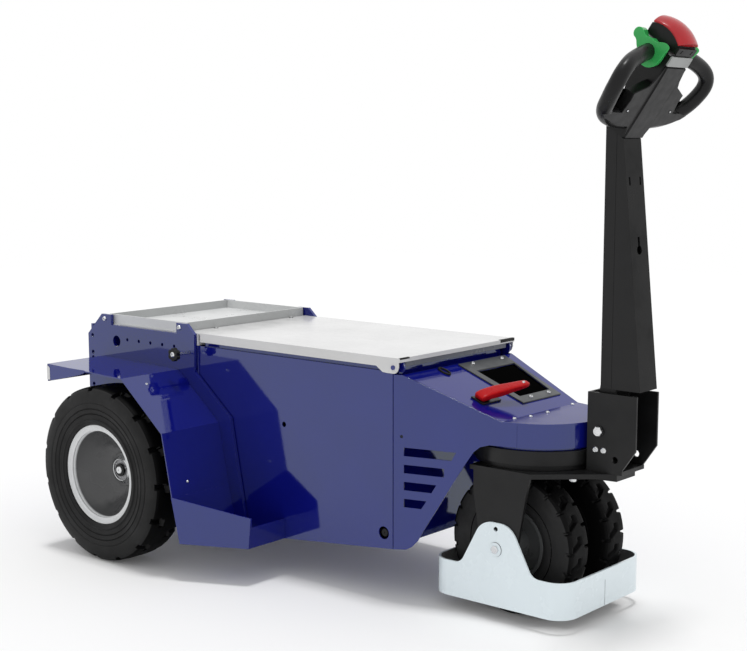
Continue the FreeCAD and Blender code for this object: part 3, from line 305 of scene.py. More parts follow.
NODE_FINISH = {
    "blue": (
        "battery_pan", "rear_floor", "rear_wall", "rear_plates", "side_panels", "front_panels", "hood_cover",
        "nose_cover", "fenders", "hinge_ears", "steering_plate"),
    "lid_white": ("lid_panel", "deck_strip"),
    "tray_grey": ("tray", "tray_bars"),
    "bar_grey": ("lid_bar",),
    "bumper": ("bumper",),
    "black_coat": (
        "fork", "turntable_ring", "tiller_bracket", "tiller_spine", "tiller_cover", "lever_base", "rear_axle",
        "drive_motor", "gear_case"),
    "bezel": ("display_bezel",),
    "black_plastic": ("tiller_head", "latch_knobs", "display_pan"),
    "mask_plastic": ("head_mask", "head_switch"),
    "band_plastic": ("head_band",),
    "red": ("stop_cap",),
    "green": ("rockers",),
    "axle": ("front_axle", "pivot_bolt"),
    "rim_left": ("rear_rim_left",),
    "rim_right": ("rear_rim_right",),
    "battery": ("battery_block",),
}
EDGE_ROUND = {
    "stop_cap": 0.0022, "rockers": 0.0012, "head_mask": 0.0010, "tiller_head": 0.0014, "latch_knobs": 0.0014}
EDGE_PLAIN = 0.0005
WELD_GAP = 0.00001
FLAT_DEG, EDGE_DEG, TRIM_EDGE_DEG = 0.6, 28, 30


def soften(obj, width, angle=TRIM_EDGE_DEG):
    """Round the edges that turn by more than the angle in degrees."""
    bevel = obj.modifiers.new("edges", "BEVEL")
    bevel.width = width
    bevel.segments = 2
    bevel.limit_method = "ANGLE"
    bevel.angle_limit = math.radians(angle)


def dress(node, material, edge):
    """Finish a CAD node: clean facets, a small round on each edge, one material."""
    obj = NODES[node]
    obj.data.materials.clear()
    obj.data.materials.append(material)
    for polygon in obj.data.polygons:
        polygon.use_smooth = True
        polygon.material_index = 0
    weld = obj.modifiers.new("weld", "WELD")
    weld.merge_threshold = WELD_GAP
    flat = obj.modifiers.new("flats", "DECIMATE")
    flat.decimate_type = "DISSOLVE"
    flat.angle_limit = math.radians(FLAT_DEG)
    soften(obj, edge, EDGE_DEG)
    normals = obj.modifiers.new("normals", "WEIGHTED_NORMAL")
    normals.keep_sharp = False


for finish, nodes in NODE_FINISH.items():
    for node in nodes:
        dress(node, MATERIALS[finish], EDGE_ROUND.get(node, EDGE_PLAIN))
dress("front_rims", MATERIALS["wheel_grey"], EDGE_PLAIN)


def repaint(mesh, material, chosen):
    """Give the faces that chosen(centre, normal) accepts a second material."""
    mesh.materials.append(MATERIALS[material])
    for polygon in mesh.polygons:
        if chosen(polygon.center, polygon.normal):
            polygon.material_index = len(mesh.materials) - 1


bumper_lo, bumper_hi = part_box("bumper")
BUMPER_MID = (bumper_lo + bumper_hi) / 2
KNOB_AT = at(113.0, 0.0, 486.5)
KNOB_INSERT_R = 0.0048


def faces_bumper_middle(centre, normal):
    away = centre - BUMPER_MID
    away.z = 0
    return abs(normal.z) < 0.5 and away.dot(normal) < 0


def in_knob_insert(centre, normal):
    return math.hypot(centre.x - KNOB_AT.x, centre.z - KNOB_AT.z) < KNOB_INSERT_R


# The bumper is enamelled outside and dark inside, and the knobs have a metal insert. Faces that mirror the
# pale room differently from their neighbours (the tray's front, the hood and nose tops, the tiller's front)
# get a darker or less reflective copy of their paint: painted shade.
repaint(NODES["bumper"].data, "bumper_inside", faces_bumper_middle)
# The tray's forward-facing faces get the darker grey copy, painted shade.
repaint(NODES["tray"].data, "tray_shade", lambda c, n: n.x > 0.9)
repaint(NODES["front_axle"].data, "bumper", lambda c, n: abs(n.y) > 0.9)
# Hood faces that point up get the less reflective blue copy, painted shade.
repaint(NODES["hood_cover"].data, "blue_hood", lambda c, n: n.z > 0.85)
# The nose's level top gets the blue copy without reflection, painted shade.
repaint(NODES["nose_cover"].data, "blue_level", lambda c, n: n.z > 0.95)
# Forward faces of the tiller cover and spine get the darker black copy, painted shade.
for node in ("tiller_cover", "tiller_spine"):
    repaint(NODES[node].data, "black_front", lambda c, n: n.x > 0.6)
repaint(NODES["latch_knobs"].data, "zinc", in_knob_insert)


# ------------------------------------------------------------------ mesh tools
def new_piece(name, body, bm, material, sharp=32.0):
    """Turn bm into a piece that rides a body, with edges sharp above an angle in degrees."""
    mesh = bpy.data.meshes.new(name)
    bmesh.ops.remove_doubles(bm, verts=bm.verts, dist=1e-6)
    bmesh.ops.recalc_face_normals(bm, faces=bm.faces)
    bm.to_mesh(mesh)
    bm.free()
    mesh.materials.append(material)
    for polygon in mesh.polygons:
        polygon.use_smooth = True
    mesh.set_sharp_from_angle(angle=math.radians(sharp))
    obj = bpy.data.objects.new(name, mesh)
    bpy.context.scene.collection.objects.link(obj)
    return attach(obj, body)


def join_loops(bm, a, b):
    """Quads between two closed loops of as many points."""
    for i in range(len(a)):
        j = (i + 1) % len(a)
        bm.faces.new([a[i], a[j], b[j], b[i]])


def hexed(r, angle):
    """Radius of a hexagon with flats at distance r."""
    return r / math.cos((angle % (math.pi / 3)) - math.pi / 6)


def lathe(bm, centre, axis, rings, segments=24):
    """Revolve rings of (radius, height[, "hex"]), which run from the axis outward and back."""
    turn = axis.to_track_quat("Z", "Y").to_matrix()
    loops = []
    for ring in rings:
        r, h = ring[:2]
        if r <= 1e-9:
            loops.append([bm.verts.new(centre + turn @ Vector((0, 0, h)))])
            continue
        loop = []
        for k in range(segments):
            a = 2 * math.pi * k / segments
            size = hexed(r, a) if len(ring) > 2 else r
            loop.append(bm.verts.new(centre + turn @ Vector((size * math.cos(a), size * math.sin(a), h))))
        loops.append(loop)
    for low, high in zip(loops, loops[1:]):
        for k in range(segments):
            j = (k + 1) % segments
            corners = [low[k % len(low)], low[j % len(low)], high[j % len(high)], high[k % len(high)]]
            unique = [v for i, v in enumerate(corners) if v not in corners[:i]]
            if len(unique) > 2:
                bm.faces.new(unique)


def socket_screw(bm, centre, axis, r, h):
    """Button head with a hexagon socket."""
    lathe(bm, centre, axis, [
        (0, h * 0.35), (r * 0.42, h * 0.35, "hex"), (r * 0.42, h * 0.93, "hex"),
        (r * 0.62, h), (r * 0.86, h * 0.72), (r, h * 0.2), (r, 0)])


def hex_bolt(bm, centre, axis, flat, h, washer=0.0):
    """Hexagon head with a chamfered top, on a washer where one is given."""
    base = h * 0.22 if washer else 0.0
    if washer:
        lathe(bm, centre, axis, [
            (flat * 0.5, base), (washer * 0.93, base), (washer, base * 0.6), (washer, 0)], 32)
    lathe(bm, centre + axis * base, axis, [
        (0, h * 0.9), (flat * 0.55, h * 0.9), (flat * 0.6, h), (flat * 0.95, h),
        (flat, h * 0.86, "hex"), (flat, 0, "hex")])


# ------------------------------------------------------------------ tyres
def smooth_path(points, step):
    """Evenly spaced points on a polyline."""
    out = [points[0]]
    for a, b in zip(points, points[1:]):
        n = max(1, round(math.dist(a, b) / step))
        out += [(a[0] + (b[0] - a[0]) * i / n, a[1] + (b[1] - a[1]) * i / n) for i in range(1, n + 1)]
    return out


def tyre_mesh(bm, centre, profile, lugs, fractions, depth_at):
    """Revolve a closed profile of (radius, y), sunk along its normal by depth_at(fraction, radius, y)."""
    count = len(profile)
    inward = []
    for i in range(count):
        a, b = profile[i - 1], profile[(i + 1) % count]
        d = Vector((b[0] - a[0], b[1] - a[1])).normalized()
        inward.append(Vector((d.y, -d.x)))
    rings = []
    for lug in range(lugs):
        for f in fractions:
            a = 2 * math.pi * (lug + f) / lugs
            ring = []
            for (r, y), n in zip(profile, inward):
                d = depth_at(f, r, y)
                rr, yy = r + n.x * d, y + n.y * d
                ring.append(bm.verts.new(centre + Vector((rr * math.cos(a), yy, rr * math.sin(a)))))
            rings.append(ring)
    for k, ring in enumerate(rings):
        join_loops(bm, ring, rings[(k + 1) % len(rings)])


def ramp(value, low, high):
    return min(1.0, max(0.0, (value - low) / (high - low)))


def pit(f, start, end, wall=0.03):
    """1 inside the stretch from start to end of a pitch, with sloped walls."""
    return ramp(f, start - wall, start) * (1 - ramp(f, end, end + wall))


def from_axle(centre, lo, hi):
    """Distance of a point from the axle line through the middle of a wheel's box."""
    return math.hypot(centre.x - (lo.x + hi.x) / 2, centre.z - (lo.z + hi.z) / 2)


REAR_LUGS, FRONT_LUGS = 15, 21
REAR_LUG_DEPTH, FRONT_LUG_DEPTH = 0.0085, 0.0075
REAR_STEP, FRONT_STEP = 0.0045, 0.0032
REAR_SEAT, FRONT_SEAT = 0.1042, 0.079
TREAD_BAND, SIDEWALL_RIM = 0.0150, 0.008
TYRE_INSET = 0.0002
PAIR_WIDTH = 0.070
REAR_FRACTIONS = tuple(i / 34 for i in range(34))
FRONT_FRACTIONS = tuple(i / 26 for i in range(26))


def rear_tyre_profile(r, half, seat):
    side = [
        (seat, 0.0400), (0.1165, 0.0425), (0.1185, 0.0480), (0.1225, half - 0.0028),
        (0.1255, half - 0.0025), (0.1275, half - 0.0008), (0.1300, half - 0.0008), (0.1320, half - 0.0030),
        (0.1420, half - 0.0022), (0.1440, half - 0.0040), (0.1460, half - 0.0018),
        (0.1540, half - 0.0004), (0.1560, half - 0.0022), (0.1580, half - 0.0002), (0.1680, half - 0.0002),
        (0.1700, half - 0.0018), (0.1720, half - 0.0008), (r - 0.020, half - 0.0012),
        (r - 0.009, half - 0.0032), (r - 0.0040, half - 0.0066), (r - 0.0018, half - 0.0110),
        (r - 0.0007, half - 0.0190), (r, half - 0.032)]
    full = side + [(a, -b) for a, b in reversed(side)]
    return smooth_path(full, REAR_STEP)


def rear_depth(r_out):
    def depth(f, r, y):
        """Cuts across each shoulder with a hook toward the middle, half a pitch apart."""
        edge = ramp(r, r_out - 0.0100, r_out - 0.0060)
        if edge == 0.0:
            return 0.0
        g = f if y > 0 else (f + 0.5) % 1.0
        across = abs(y)
        cut = pit(g, 0.46, 0.56) * ramp(across, 0.020, 0.0225)
        hook = pit(g, 0.30, 0.50) * ramp(across, 0.014, 0.0165) * (1 - ramp(across, 0.021, 0.0235))
        return REAR_LUG_DEPTH * max(cut, hook) * edge
    return depth


for side in ("left", "right"):
    node = "rear_tyre_" + side
    lo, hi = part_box(node)
    radius, half = (hi.z - lo.z) / 2, (hi.y - lo.y) / 2
    bm = bmesh.new()
    profile = rear_tyre_profile(radius - TYRE_INSET, half - TYRE_INSET, REAR_SEAT)
    tyre_mesh(bm, (lo + hi) / 2, profile, REAR_LUGS, REAR_FRACTIONS, rear_depth(radius))
    tyre = new_piece("treaded_" + node, "rear_wheel_" + side, bm, MATERIALS["rubber"])
    # The rear tread band gets the darker rubber copy, painted shade.
    repaint(tyre.data, "rear_tread_shaded", lambda c, n: (
        from_axle(c, lo, hi) > radius - TREAD_BAND and abs(n.y) < 0.55))
    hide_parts(node)


def front_tyre_profile(r, half):
    side = [
        (FRONT_SEAT, half - 0.007), (FRONT_SEAT + 0.006, half - 0.003), (0.092, half - 0.0015),
        (0.1010, half - 0.0012), (0.1022, half - 0.0028), (0.1034, half - 0.0012),
        (0.1160, half - 0.0003), (r - 0.016, half - 0.0003), (r - 0.0075, half - 0.0014),
        (r - 0.0028, half - 0.0040), (r - 0.0008, half - 0.0085), (r, half - 0.018)]
    full = side + [(a, -b) for a, b in reversed(side)]
    return smooth_path(full, FRONT_STEP)


def front_depth(r_out):
    def depth(f, r, y):
        """Oblique hooks on the outer half, short slits at the inner shoulder."""
        edge = ramp(r, r_out - 0.016, r_out - 0.011)
        if edge == 0.0:
            return 0.0
        slope = (f - 11.0 * y) % 1.0
        arm = pit(slope, 0.42, 0.64, 0.05) * ramp(y, -0.027, -0.024) * (1 - ramp(y, 0.001, 0.003))
        block = pit(f, 0.44, 0.76, 0.05) * ramp(y, -0.008, -0.006) * (1 - ramp(y, 0.003, 0.005))
        slit = pit(f, 0.22, 0.30, 0.04) * ramp(y, 0.0155, 0.0175)
        outer = pit(f, 0.02, 0.10, 0.04) * (1 - ramp(y, -0.026, -0.024))
        return FRONT_LUG_DEPTH * max(arm, block, slit, outer * 0.6) * edge
    return depth


bm = bmesh.new()
lo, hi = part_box("front_tyres")
wheel_r = (hi.z - lo.z) / 2
mid_y = (lo.y + hi.y) / 2
half = PAIR_WIDTH / 2
for y in (lo.y + half, hi.y - half):
    centre = Vector(((lo.x + hi.x) / 2, y, (lo.z + hi.z) / 2))
    profile = front_tyre_profile(wheel_r - TYRE_INSET, half - TYRE_INSET)
    tyre_mesh(bm, centre, profile, FRONT_LUGS, FRONT_FRACTIONS, front_depth(wheel_r))
tyres = new_piece("treaded_front_tyres", "front_wheels", bm, MATERIALS["tread"])
# Outer sidewalls of the front tyres get the lighter rubber copy, painted light. The tread keeps the darker
# copy, painted shade.
repaint(tyres.data, "sidewall", lambda c, n: (
    abs(n.y) > 0.6 and n.y * (c.y - mid_y) > 0 and from_axle(c, lo, hi) < wheel_r - SIDEWALL_RIM))
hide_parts("front_tyres")

# ------------------------------------------------------------------ hubs and screws
HUB_CAP = (
    (0, 0.0016), (0.0014, 0.0016), (0.0020, 0.0030), (0.0078, 0.0030), (0.0092, 0.0018), (0.0094, -0.0002))
HUB_RING = ((0.0250, -0.0092), (0.0250, -0.0030), (0.0262, -0.0026), (0.0325, -0.0086), (0.0335, -0.0098))
HUB_SEAL = (
    (0.0155, -0.0058), (0.0158, -0.0034), (0.0172, -0.0034), (0.0176, -0.0050), (0.0232, -0.0050),
    (0.0236, -0.0036), (0.0246, -0.0036), (0.0248, -0.0070))
HUB_SCREWS, HUB_SCREW_START, HUB_SCREW_CIRCLE, HUB_SCREW_DEPTH = 6, -38, 0.0205, 0.0058
axle_lo, axle_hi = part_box("rear_axle")
for side, sign in (("left", 1), ("right", -1)):
    bm = bmesh.new()
    out = Y_AXIS * sign
    face = JOINT_AT["rear_wheel_%s_spin" % side].copy()
    face.y = axle_hi.y if sign > 0 else axle_lo.y
    lathe(bm, face, out, HUB_CAP, 40)
    lathe(bm, face, out, HUB_RING, 48)
    for k in range(HUB_SCREWS):
        a = math.radians(HUB_SCREW_START + 360 * k // HUB_SCREWS)
        spoke = Vector((math.cos(a), 0, math.sin(a)))
        socket_screw(bm, face + spoke * HUB_SCREW_CIRCLE - out * HUB_SCREW_DEPTH, out, 0.0026, 0.0026)
    nut = new_piece("hub_nut_" + side, "rear_wheel_" + side, bm, MATERIALS["zinc"])
    bm = bmesh.new()
    lathe(bm, face, out, HUB_SEAL, 48)
    new_piece("hub_seal_" + side, "rear_wheel_" + side, bm, MATERIALS["axle"])

HOOD_REAR_X, HOOD_REAR_Z = 752.0, 498.0
HOOD_FRONT_X, NOSE_TOP_Z = 968.0, 417.5
HOOD_SLOPE = math.atan2(HOOD_REAR_Z - NOSE_TOP_Z, HOOD_FRONT_X - HOOD_REAR_X)
HOOD_UP = Vector((math.sin(HOOD_SLOPE), 0, math.cos(HOOD_SLOPE)))
HOOD_ALONG = Vector((math.cos(HOOD_SLOPE), 0, -math.sin(HOOD_SLOPE)))


def hood_at(x, y, lift):
    """Point above the sloping hood, x from the rear axle in millimetres."""
    z = HOOD_REAR_Z - (x - HOOD_REAR_X) * math.tan(HOOD_SLOPE)
    return at(x, y, z) + HOOD_UP * lift


BEZEL_TOP = 0.0034
DECK_TOP_Z = 533.0
BEZEL_SCREWS = ((765, 29), (767, 135), (918, 33), (917.5, 101))
NOSE_SCREWS = ((969, -99), (973, 113), (982, -59), (983, 2))
DECK_SCREWS = ((99, -113), (99, 149))
PLATE_SCREWS = ((-195.8, 541.7), (79.5, 542.5))
plate_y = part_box("rear_plates")[1].y * 1000
knob_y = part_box("latch_knobs")[1].y * 1000
bm = bmesh.new()
for x, y in BEZEL_SCREWS:
    socket_screw(bm, hood_at(x, y, BEZEL_TOP), HOOD_UP, 0.0048, 0.0034)
for x, y in NOSE_SCREWS:
    socket_screw(bm, at(x, y, NOSE_TOP_Z), Z_AXIS, 0.0042, 0.0030)
for x, y in DECK_SCREWS:
    socket_screw(bm, at(x, y, DECK_TOP_Z + 0.2), Z_AXIS, 0.0030, 0.0026)
for sign in (1, -1):
    out = Y_AXIS * sign
    for x, z in PLATE_SCREWS:
        socket_screw(bm, at(x, sign * plate_y, z), out, 0.0062, 0.0040)
    socket_screw(bm, at(113.0, sign * knob_y, 486.5), out, 0.0065, 0.0025)
    socket_screw(bm, at(96.6, sign * 332.6, 424.3), Vector((0.63, 0, 0.77)), 0.0034, 0.0014)
    socket_screw(bm, at(234.8, sign * 336.8, 215.4), Vector((0.98, 0, 0.21)), 0.0034, 0.0014)
    socket_screw(bm, at(748.6, sign * 192.9, 516.6), -out, 0.0044, 0.0030)
new_piece("chassis_screws", "chassis", bm, MATERIALS["zinc"])

bm = bmesh.new()
for x, y in DECK_SCREWS:
    lathe(bm, at(x, y, DECK_TOP_Z), Z_AXIS, [
        (0.0028, 0.0008), (0.0052, 0.0008), (0.0058, 0.0002), (0.0058, -0.0006)], 28)
new_piece("deck_screw_washers", "chassis", bm, MATERIALS["grommet"])

bracket_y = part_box("tiller_bracket")[1].y * 1000
pin_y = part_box("pivot_bolt")[1].y * 1000
axle_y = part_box("front_axle")[1].y * 1000
bm = bmesh.new()
for sign in (1, -1):
    out = Y_AXIS * sign
    for x, z in ((1131.4, 366.5), (1150.0, 366.5)):
        socket_screw(bm, at(x, sign * bracket_y, z), out, 0.0068, 0.0045)
    hex_bolt(bm, at(1139.4, sign * (pin_y - 6.5), 405.6), out, 0.0092, 0.0085)
    hex_bolt(bm, at(966.0, sign * axle_y, 152.0), out, 0.0078, 0.0030)
for y in (-70.0, 70.0):
    hex_bolt(bm, at(1095.0, y, 310.5), -Z_AXIS, 0.0070, 0.0105)
new_piece("steering_bolts", "steering", bm, MATERIALS["zinc"])

# ------------------------------------------------------------------ flat trims
def slab(bm, corners, lift, thick):
    """Plate on a flat outline, given as points and the vector its thickness follows."""
    low = [bm.verts.new(p + lift) for p in corners]
    high = [bm.verts.new(p + lift + thick) for p in corners]
    bm.faces.new(low)
    bm.faces.new(high)
    join_loops(bm, low, high)


def side_slabs(bm, outline, y, thick):
    """The same upright plate on both sides: outline as (x, z), outward face y + thick."""
    for sign in (1, -1):
        slab(bm, [at(x, sign * y, z) for x, z in outline], Vector(), Y_AXIS * (sign * thick))


GLASS_OUTLINE = ((792.4, 8.4), (907.6, 8.4), (907.6, 120.2), (792.4, 149.6))
bm = bmesh.new()
slab(bm, [hood_at(x, y, 0) for x, y in GLASS_OUTLINE], HOOD_UP * -0.0040, HOOD_UP * 0.0036)
new_piece("display_glass", "chassis", bm, MATERIALS["glass"])

# Oval grommet: the profile is (growth of the oval, height over the hood).
GROMMET_PROFILE = (
    (0.0, 0.0), (0.0, 0.0030), (-0.0008, 0.0042), (-0.0030, 0.0042), (-0.0038, 0.0030), (-0.0038, 0.0002))
GROMMET_LONG, GROMMET_SHORT, GROMMET_STEPS = 0.0170, 0.0105, 40
bm = bmesh.new()
rings = []
for k in range(GROMMET_STEPS):
    a = 2 * math.pi * k / GROMMET_STEPS
    ring = []
    for grow, lift in GROMMET_PROFILE:
        along, across = (GROMMET_LONG + grow) * math.cos(a), (GROMMET_SHORT + grow) * math.sin(a)
        ring.append(bm.verts.new(hood_at(769.5, -77.5, lift) + HOOD_ALONG * along + Y_AXIS * across))
    rings.append(ring)
for k, ring in enumerate(rings):
    join_loops(bm, ring, rings[(k + 1) % len(rings)])
new_piece("hood_grommet", "chassis", bm, MATERIALS["grommet"], 60.0)

# Corner caps of the lid: x, y and z from and to.
LID_CAPS = (
    (747.5, 752.6, -206.0, -174.0, 530.6, 534.0),
    (746.0, 752.8, 153.0, 207.0, 527.5, 534.2))
bm = bmesh.new()
for x0, x1, y0, y1, z0, z1 in LID_CAPS:
    foot = [at(x0, y0, z0), at(x1, y0, z0), at(x1, y1, z0), at(x0, y1, z0)]
    slab(bm, foot, Vector(), Z_AXIS * ((z1 - z0) / 1000))
caps = new_piece("lid_corner_caps", "lid", bm, MATERIALS["grommet"])
soften(caps, 0.0005)

PIN_COVER = ((0, 0.0008), (0.0078, 0.0008), (0.0082, 0.0005), (0.0082, -0.0010))
bm = bmesh.new()
for sign in (1, -1):
    lathe(bm, at(737.0, sign * 206.9, 513.0), Y_AXIS * sign, PIN_COVER, 36)
new_piece("hinge_pin_covers", "lid", bm, MATERIALS["lid_white"])

# Plates beside the fenders and rear plates, with outlines as (x, z).
FLANGE = ((-198.4, 447.0), (-198.4, 410.5), (-183.0, 410.0), (-80.0, 433.0), (-58.0, 441.0), (-58.0, 447.0))
PLATE_CORNER = ((-207.5, 551.5), (-258.5, 503.5), (-249.0, 503.0), (-236.0, 524.0), (-213.0, 529.0))
TRAY_EDGE = ((-144.5, 525.8), (45.0, 525.8), (45.0, 531.0), (-144.5, 531.0))
FENDER_END = ((-198.8, 411.0), (-188.4, 411.0), (-188.4, 440.0), (-198.8, 446.5))
bm = bmesh.new()
side_slabs(bm, FLANGE, 389.6, 0.0014)
side_slabs(bm, PLATE_CORNER, 206.2, 0.0077)
folds = new_piece("plate_folds", "chassis", bm, MATERIALS["blue"])
soften(folds, 0.0004)

bm = bmesh.new()
side_slabs(bm, TRAY_EDGE, 201.9, 0.0030)
new_piece("tray_lower_edges", "chassis", bm, MATERIALS["tray_grey"])

bm = bmesh.new()
side_slabs(bm, FENDER_END, 391.0, 0.0009)
strips = new_piece("fender_end_strips", "chassis", bm, MATERIALS["lid_white"])
soften(strips, 0.0003)

SEAM = ((-4.4, 31.5), (-3.2, 31.5), (-3.2, 86.0), (-4.4, 86.0))
bm = bmesh.new()
slab(bm, [at(1136.0, y, z) for y, z in SEAM], Vector(), X_AXIS * 0.0002)
new_piece("bumper_seam", "steering", bm, MATERIALS["bar_grey"])

SIDE_PLUG = (
    (0, -0.0010), (0.0016, -0.0010), (0.0022, 0.0002), (0.0080, 0.0002), (0.0088, -0.0006), (0.0088, -0.0200))
FRONT_PLUG = ((0, -0.0004), (0.0012, 0.0004), (0.0026, 0.0006), (0.0034, 0.0))
bm = bmesh.new()
for sign in (1, -1):
    lathe(bm, at(706.0, sign * 201.0, 151.0), Y_AXIS * sign, SIDE_PLUG)
    lathe(bm, at(750.8, sign * 198.9, 366.7), Vector((0.26, 0.966 * sign, 0)), FRONT_PLUG)
new_piece("panel_plugs", "chassis", bm, MATERIALS["grommet"])

# ------------------------------------------------------------------ tiller head
HEAD_FOOT = at(1172.2, 0.0, 988.3)
HEAD_LEAN = math.radians(34.8)
HEAD_UP = Vector((math.sin(HEAD_LEAN), 0, math.cos(HEAD_LEAN)))
HEAD_OUT = Vector((math.cos(HEAD_LEAN), 0, -math.sin(HEAD_LEAN)))


def head_at(s, n, y):
    """Point on the tiller head: up the face, off the face and across, in millimetres."""
    return HEAD_FOOT + HEAD_UP * (s / 1000) + HEAD_OUT * (n / 1000) + Y_AXIS * (y / 1000)


MASK_SCREW_UP, MASK_SCREW_Y = 63.0, 81.0
# Dark rings around the mask screws: painted shade of the recesses the screws sit in.
SCREW_WELL_SHADE = ((0.0018, 0.0006), (0.0038, 0.0006), (0.0044, 0.0001), (0.0046, -0.0010))
bm = bmesh.new()
for sign in (1, -1):
    socket_screw(bm, head_at(MASK_SCREW_UP, 0.5, sign * MASK_SCREW_Y), HEAD_OUT, 0.0022, 0.0012)
new_piece("mask_screws", "tiller", bm, MATERIALS["zinc"])

# Painted shade rings under the mask screws.
bm = bmesh.new()
for sign in (1, -1):
    lathe(bm, head_at(MASK_SCREW_UP, 0.0, sign * MASK_SCREW_Y), HEAD_OUT, SCREW_WELL_SHADE, 28)
new_piece("mask_screw_well_shades", "tiller", bm, MATERIALS["grommet"])

# Moulded webs that close the inner corner of each grip loop.
WEB_OUTLINE = (
    (24, 36), (22, 78), (30, 118), (48, 140), (70, 148), (88, 138), (92, 118), (94, 96), (97, 74), (101, 52),
    (104, 36))
bm = bmesh.new()
for sign in (1, -1):
    slab(bm, [head_at(s, -28.0, sign * y) for s, y in WEB_OUTLINE], Vector(), HEAD_OUT * 0.0035)
webs = new_piece("grip_webs", "tiller", bm, MATERIALS["black_plastic"])
soften(webs, 0.0008)


# ------------------------------------------------------------------ pull lever
def loft(bm, sections, corner=0.35, steps=5):
    """Join rounded-rectangle sections given as (centre, half width vector, half height vector)."""
    loops = []
    for centre, wide, tall in sections:
        loop = []
        for cx, cy, start in ((1, 1, 0), (-1, 1, 90), (-1, -1, 180), (1, -1, 270)):
            for i in range(steps):
                a = math.radians(start + 90 * i / (steps - 1))
                u = cx * (1 - corner) + corner * math.cos(a)
                v = cy * (1 - corner) + corner * math.sin(a)
                loop.append(bm.verts.new(centre + wide * u + tall * v))
        loops.append(loop)
    for a, b in zip(loops, loops[1:]):
        join_loops(bm, a, b)
    bm.faces.new(loops[0])
    bm.faces.new(loops[-1])


LEVER_X, LEVER_ROOT_Y, LEVER_FOOT = 889.0, -121.0, 0.00405
LEVER_RISE, LEVER_TURN = math.radians(13.0), math.radians(15.0)
flat_along = HOOD_ALONG * math.sin(LEVER_TURN) + Y_AXIS * math.cos(LEVER_TURN)
lever_along = flat_along * math.cos(LEVER_RISE) + HOOD_UP * math.sin(LEVER_RISE)
lever_wide = HOOD_ALONG * math.cos(LEVER_TURN) - Y_AXIS * math.sin(LEVER_TURN)
lever_up = lever_wide.cross(lever_along)
lever_foot = hood_at(LEVER_X, LEVER_ROOT_Y, LEVER_FOOT)
# Sections of the blade: millimetres along it, then half width, underside and top.
LEVER_SECTIONS = (
    (1, 0.0115, 0.0040, 0.0095), (3, 0.0140, 0.0028, 0.0115), (12, 0.0148, 0.0020, 0.0150),
    (30, 0.0150, 0.0012, 0.0168), (52, 0.0158, 0.0010, 0.0170), (68, 0.0140, 0.0014, 0.0168),
    (84, 0.0122, 0.0022, 0.0160), (104, 0.0115, 0.0034, 0.0150), (120, 0.0108, 0.0046, 0.0140),
    (128, 0.0085, 0.0056, 0.0132), (131.5, 0.0050, 0.0072, 0.0118))
# Sections of its boss: height, half length and half depth.
LEVER_BOSS = (
    (0.0, 0.0125, 0.0150), (0.0030, 0.0135, 0.0165), (0.0085, 0.0130, 0.0160), (0.0125, 0.0100, 0.0130))
bm = bmesh.new()
loft(bm, [
    (lever_foot + lever_along * (s / 1000) + lever_up * ((low + high) / 2),
     lever_wide * half, lever_up * ((high - low) / 2))
    for s, half, low, high in LEVER_SECTIONS], 0.5)
loft(bm, [
    (lever_foot + Y_AXIS * 0.0180 + HOOD_UP * lift, HOOD_ALONG * wide, Y_AXIS * -deep)
    for lift, wide, deep in LEVER_BOSS], 0.4)
lever = new_piece("shaped_pull_lever", "chassis", bm, MATERIALS["lever_red"], 60.0)
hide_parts("pull_lever")
smooth = lever.modifiers.new("smooth", "SUBSURF")
smooth.levels = smooth.render_levels = 1

bm = bmesh.new()
socket_screw(bm, lever_foot + lever_along * 0.118 + lever_up * 0.0138, lever_up, 0.0034, 0.0024)
new_piece("lever_screw", "chassis", bm, MATERIALS["zinc"])

# ------------------------------------------------------------------ floor, light, camera
FLOOR_SIZE, FLOOR_GREY, FLOOR_GLOW = 14.0, 0.88, 0.045
ROOM_LIGHT = 0.74
SUN_STRENGTH, SUN_SPREAD_DEG, SUN_TILT_DEG = 1.20, 9, (-2, 1)
VIEW_AZIMUTH, VIEW_ELEVATION = math.radians(40.0), math.radians(8.6)
LENS, SHIFT_X, SHIFT_Y = 70.10, -0.0194, 0.0387

floor_mesh = bpy.data.meshes.new("floor")
bm = bmesh.new()
bmesh.ops.create_grid(bm, x_segments=1, y_segments=1, size=FLOOR_SIZE / 2)
bm.to_mesh(floor_mesh)
bm.free()
floor = bpy.data.objects.new("floor", floor_mesh)
bpy.context.scene.collection.objects.link(floor)


def seen_directly(tree):
    """1 for camera, glossy and transmission rays."""
    path = tree.nodes.new("ShaderNodeLightPath")
    total = path.outputs["Is Camera Ray"]
    for key in ("Is Glossy Ray", "Is Transmission Ray"):
        node = tree.nodes.new("ShaderNodeMath")
        node.operation = "MAXIMUM"
        tree.links.new(total, node.inputs[0])
        tree.links.new(path.outputs[key], node.inputs[1])
        total = node.outputs["Value"]
    return total


def by_view(tree, plain, direct, output):
    """One shader for the light that falls around, another for what is seen directly."""
    choose = tree.nodes.new("ShaderNodeMixShader")
    tree.links.new(seen_directly(tree), choose.inputs["Fac"])
    tree.links.new(plain.outputs[0], choose.inputs[1])
    tree.links.new(direct.outputs[0], choose.inputs[2])
    tree.links.new(choose.outputs["Shader"], tree.nodes[output].inputs["Surface"])


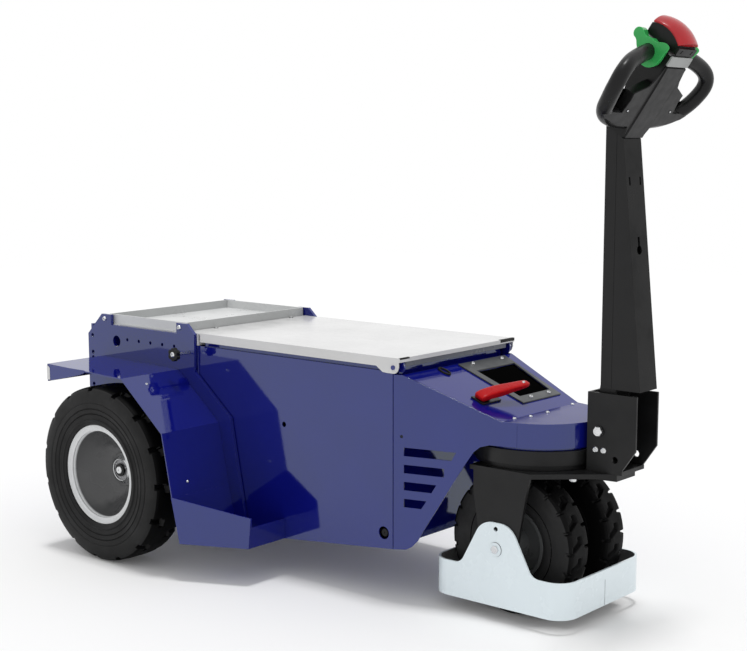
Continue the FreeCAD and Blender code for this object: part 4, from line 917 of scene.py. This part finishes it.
floor_material = bpy.data.materials.new("studio_floor")
floor_material.use_nodes = True
tree = floor_material.node_tree
tree.nodes.remove(tree.nodes["Principled BSDF"])
diffuse = tree.nodes.new("ShaderNodeBsdfDiffuse")
diffuse.inputs["Color"].default_value = (FLOOR_GREY, FLOOR_GREY, FLOOR_GREY, 1)
glow = tree.nodes.new("ShaderNodeEmission")
glow.inputs["Strength"].default_value = FLOOR_GLOW
lift = tree.nodes.new("ShaderNodeAddShader")
tree.links.new(diffuse.outputs["BSDF"], lift.inputs[0])
tree.links.new(glow.outputs["Emission"], lift.inputs[1])
by_view(tree, diffuse, lift, "Material Output")
floor_mesh.materials.append(floor_material)

world = bpy.data.worlds.new("studio")
bpy.context.scene.world = world
world.use_nodes = True
tree = world.node_tree
lit = tree.nodes["Background"]
shown = tree.nodes.new("ShaderNodeBackground")
for node, strength in ((lit, ROOM_LIGHT), (shown, 1.0)):
    node.inputs["Color"].default_value = (1, 1, 1, 1)
    node.inputs["Strength"].default_value = strength
by_view(tree, lit, shown, "World Output")

sun_data = bpy.data.lights.new("overhead_softbox", "SUN")
sun_data.energy = SUN_STRENGTH
sun_data.angle = math.radians(SUN_SPREAD_DEG)
sun = bpy.data.objects.new("overhead_softbox", sun_data)
sun.rotation_euler = (math.radians(SUN_TILT_DEG[0]), math.radians(SUN_TILT_DEG[1]), 0)
bpy.context.scene.collection.objects.link(sun)

camera_data = bpy.data.cameras.new("camera")
camera_data.sensor_width = 36.0
camera_data.lens = LENS
camera_data.shift_x = SHIFT_X
camera_data.shift_y = SHIFT_Y
camera_data.clip_end = 60.0
camera = bpy.data.objects.new("camera", camera_data)
back = Vector((
    math.sin(VIEW_AZIMUTH) * math.cos(VIEW_ELEVATION), -math.cos(VIEW_AZIMUTH) * math.cos(VIEW_ELEVATION),
    math.sin(VIEW_ELEVATION)))
camera.rotation_mode = "QUATERNION"
camera.rotation_quaternion = (-back).to_track_quat("-Z", "Y")
camera.location = at(2658.75, -2517.07, 995.75)
bpy.context.scene.collection.objects.link(camera)
bpy.context.scene.camera = camera
bpy.context.scene.view_settings.view_transform = "Standard"
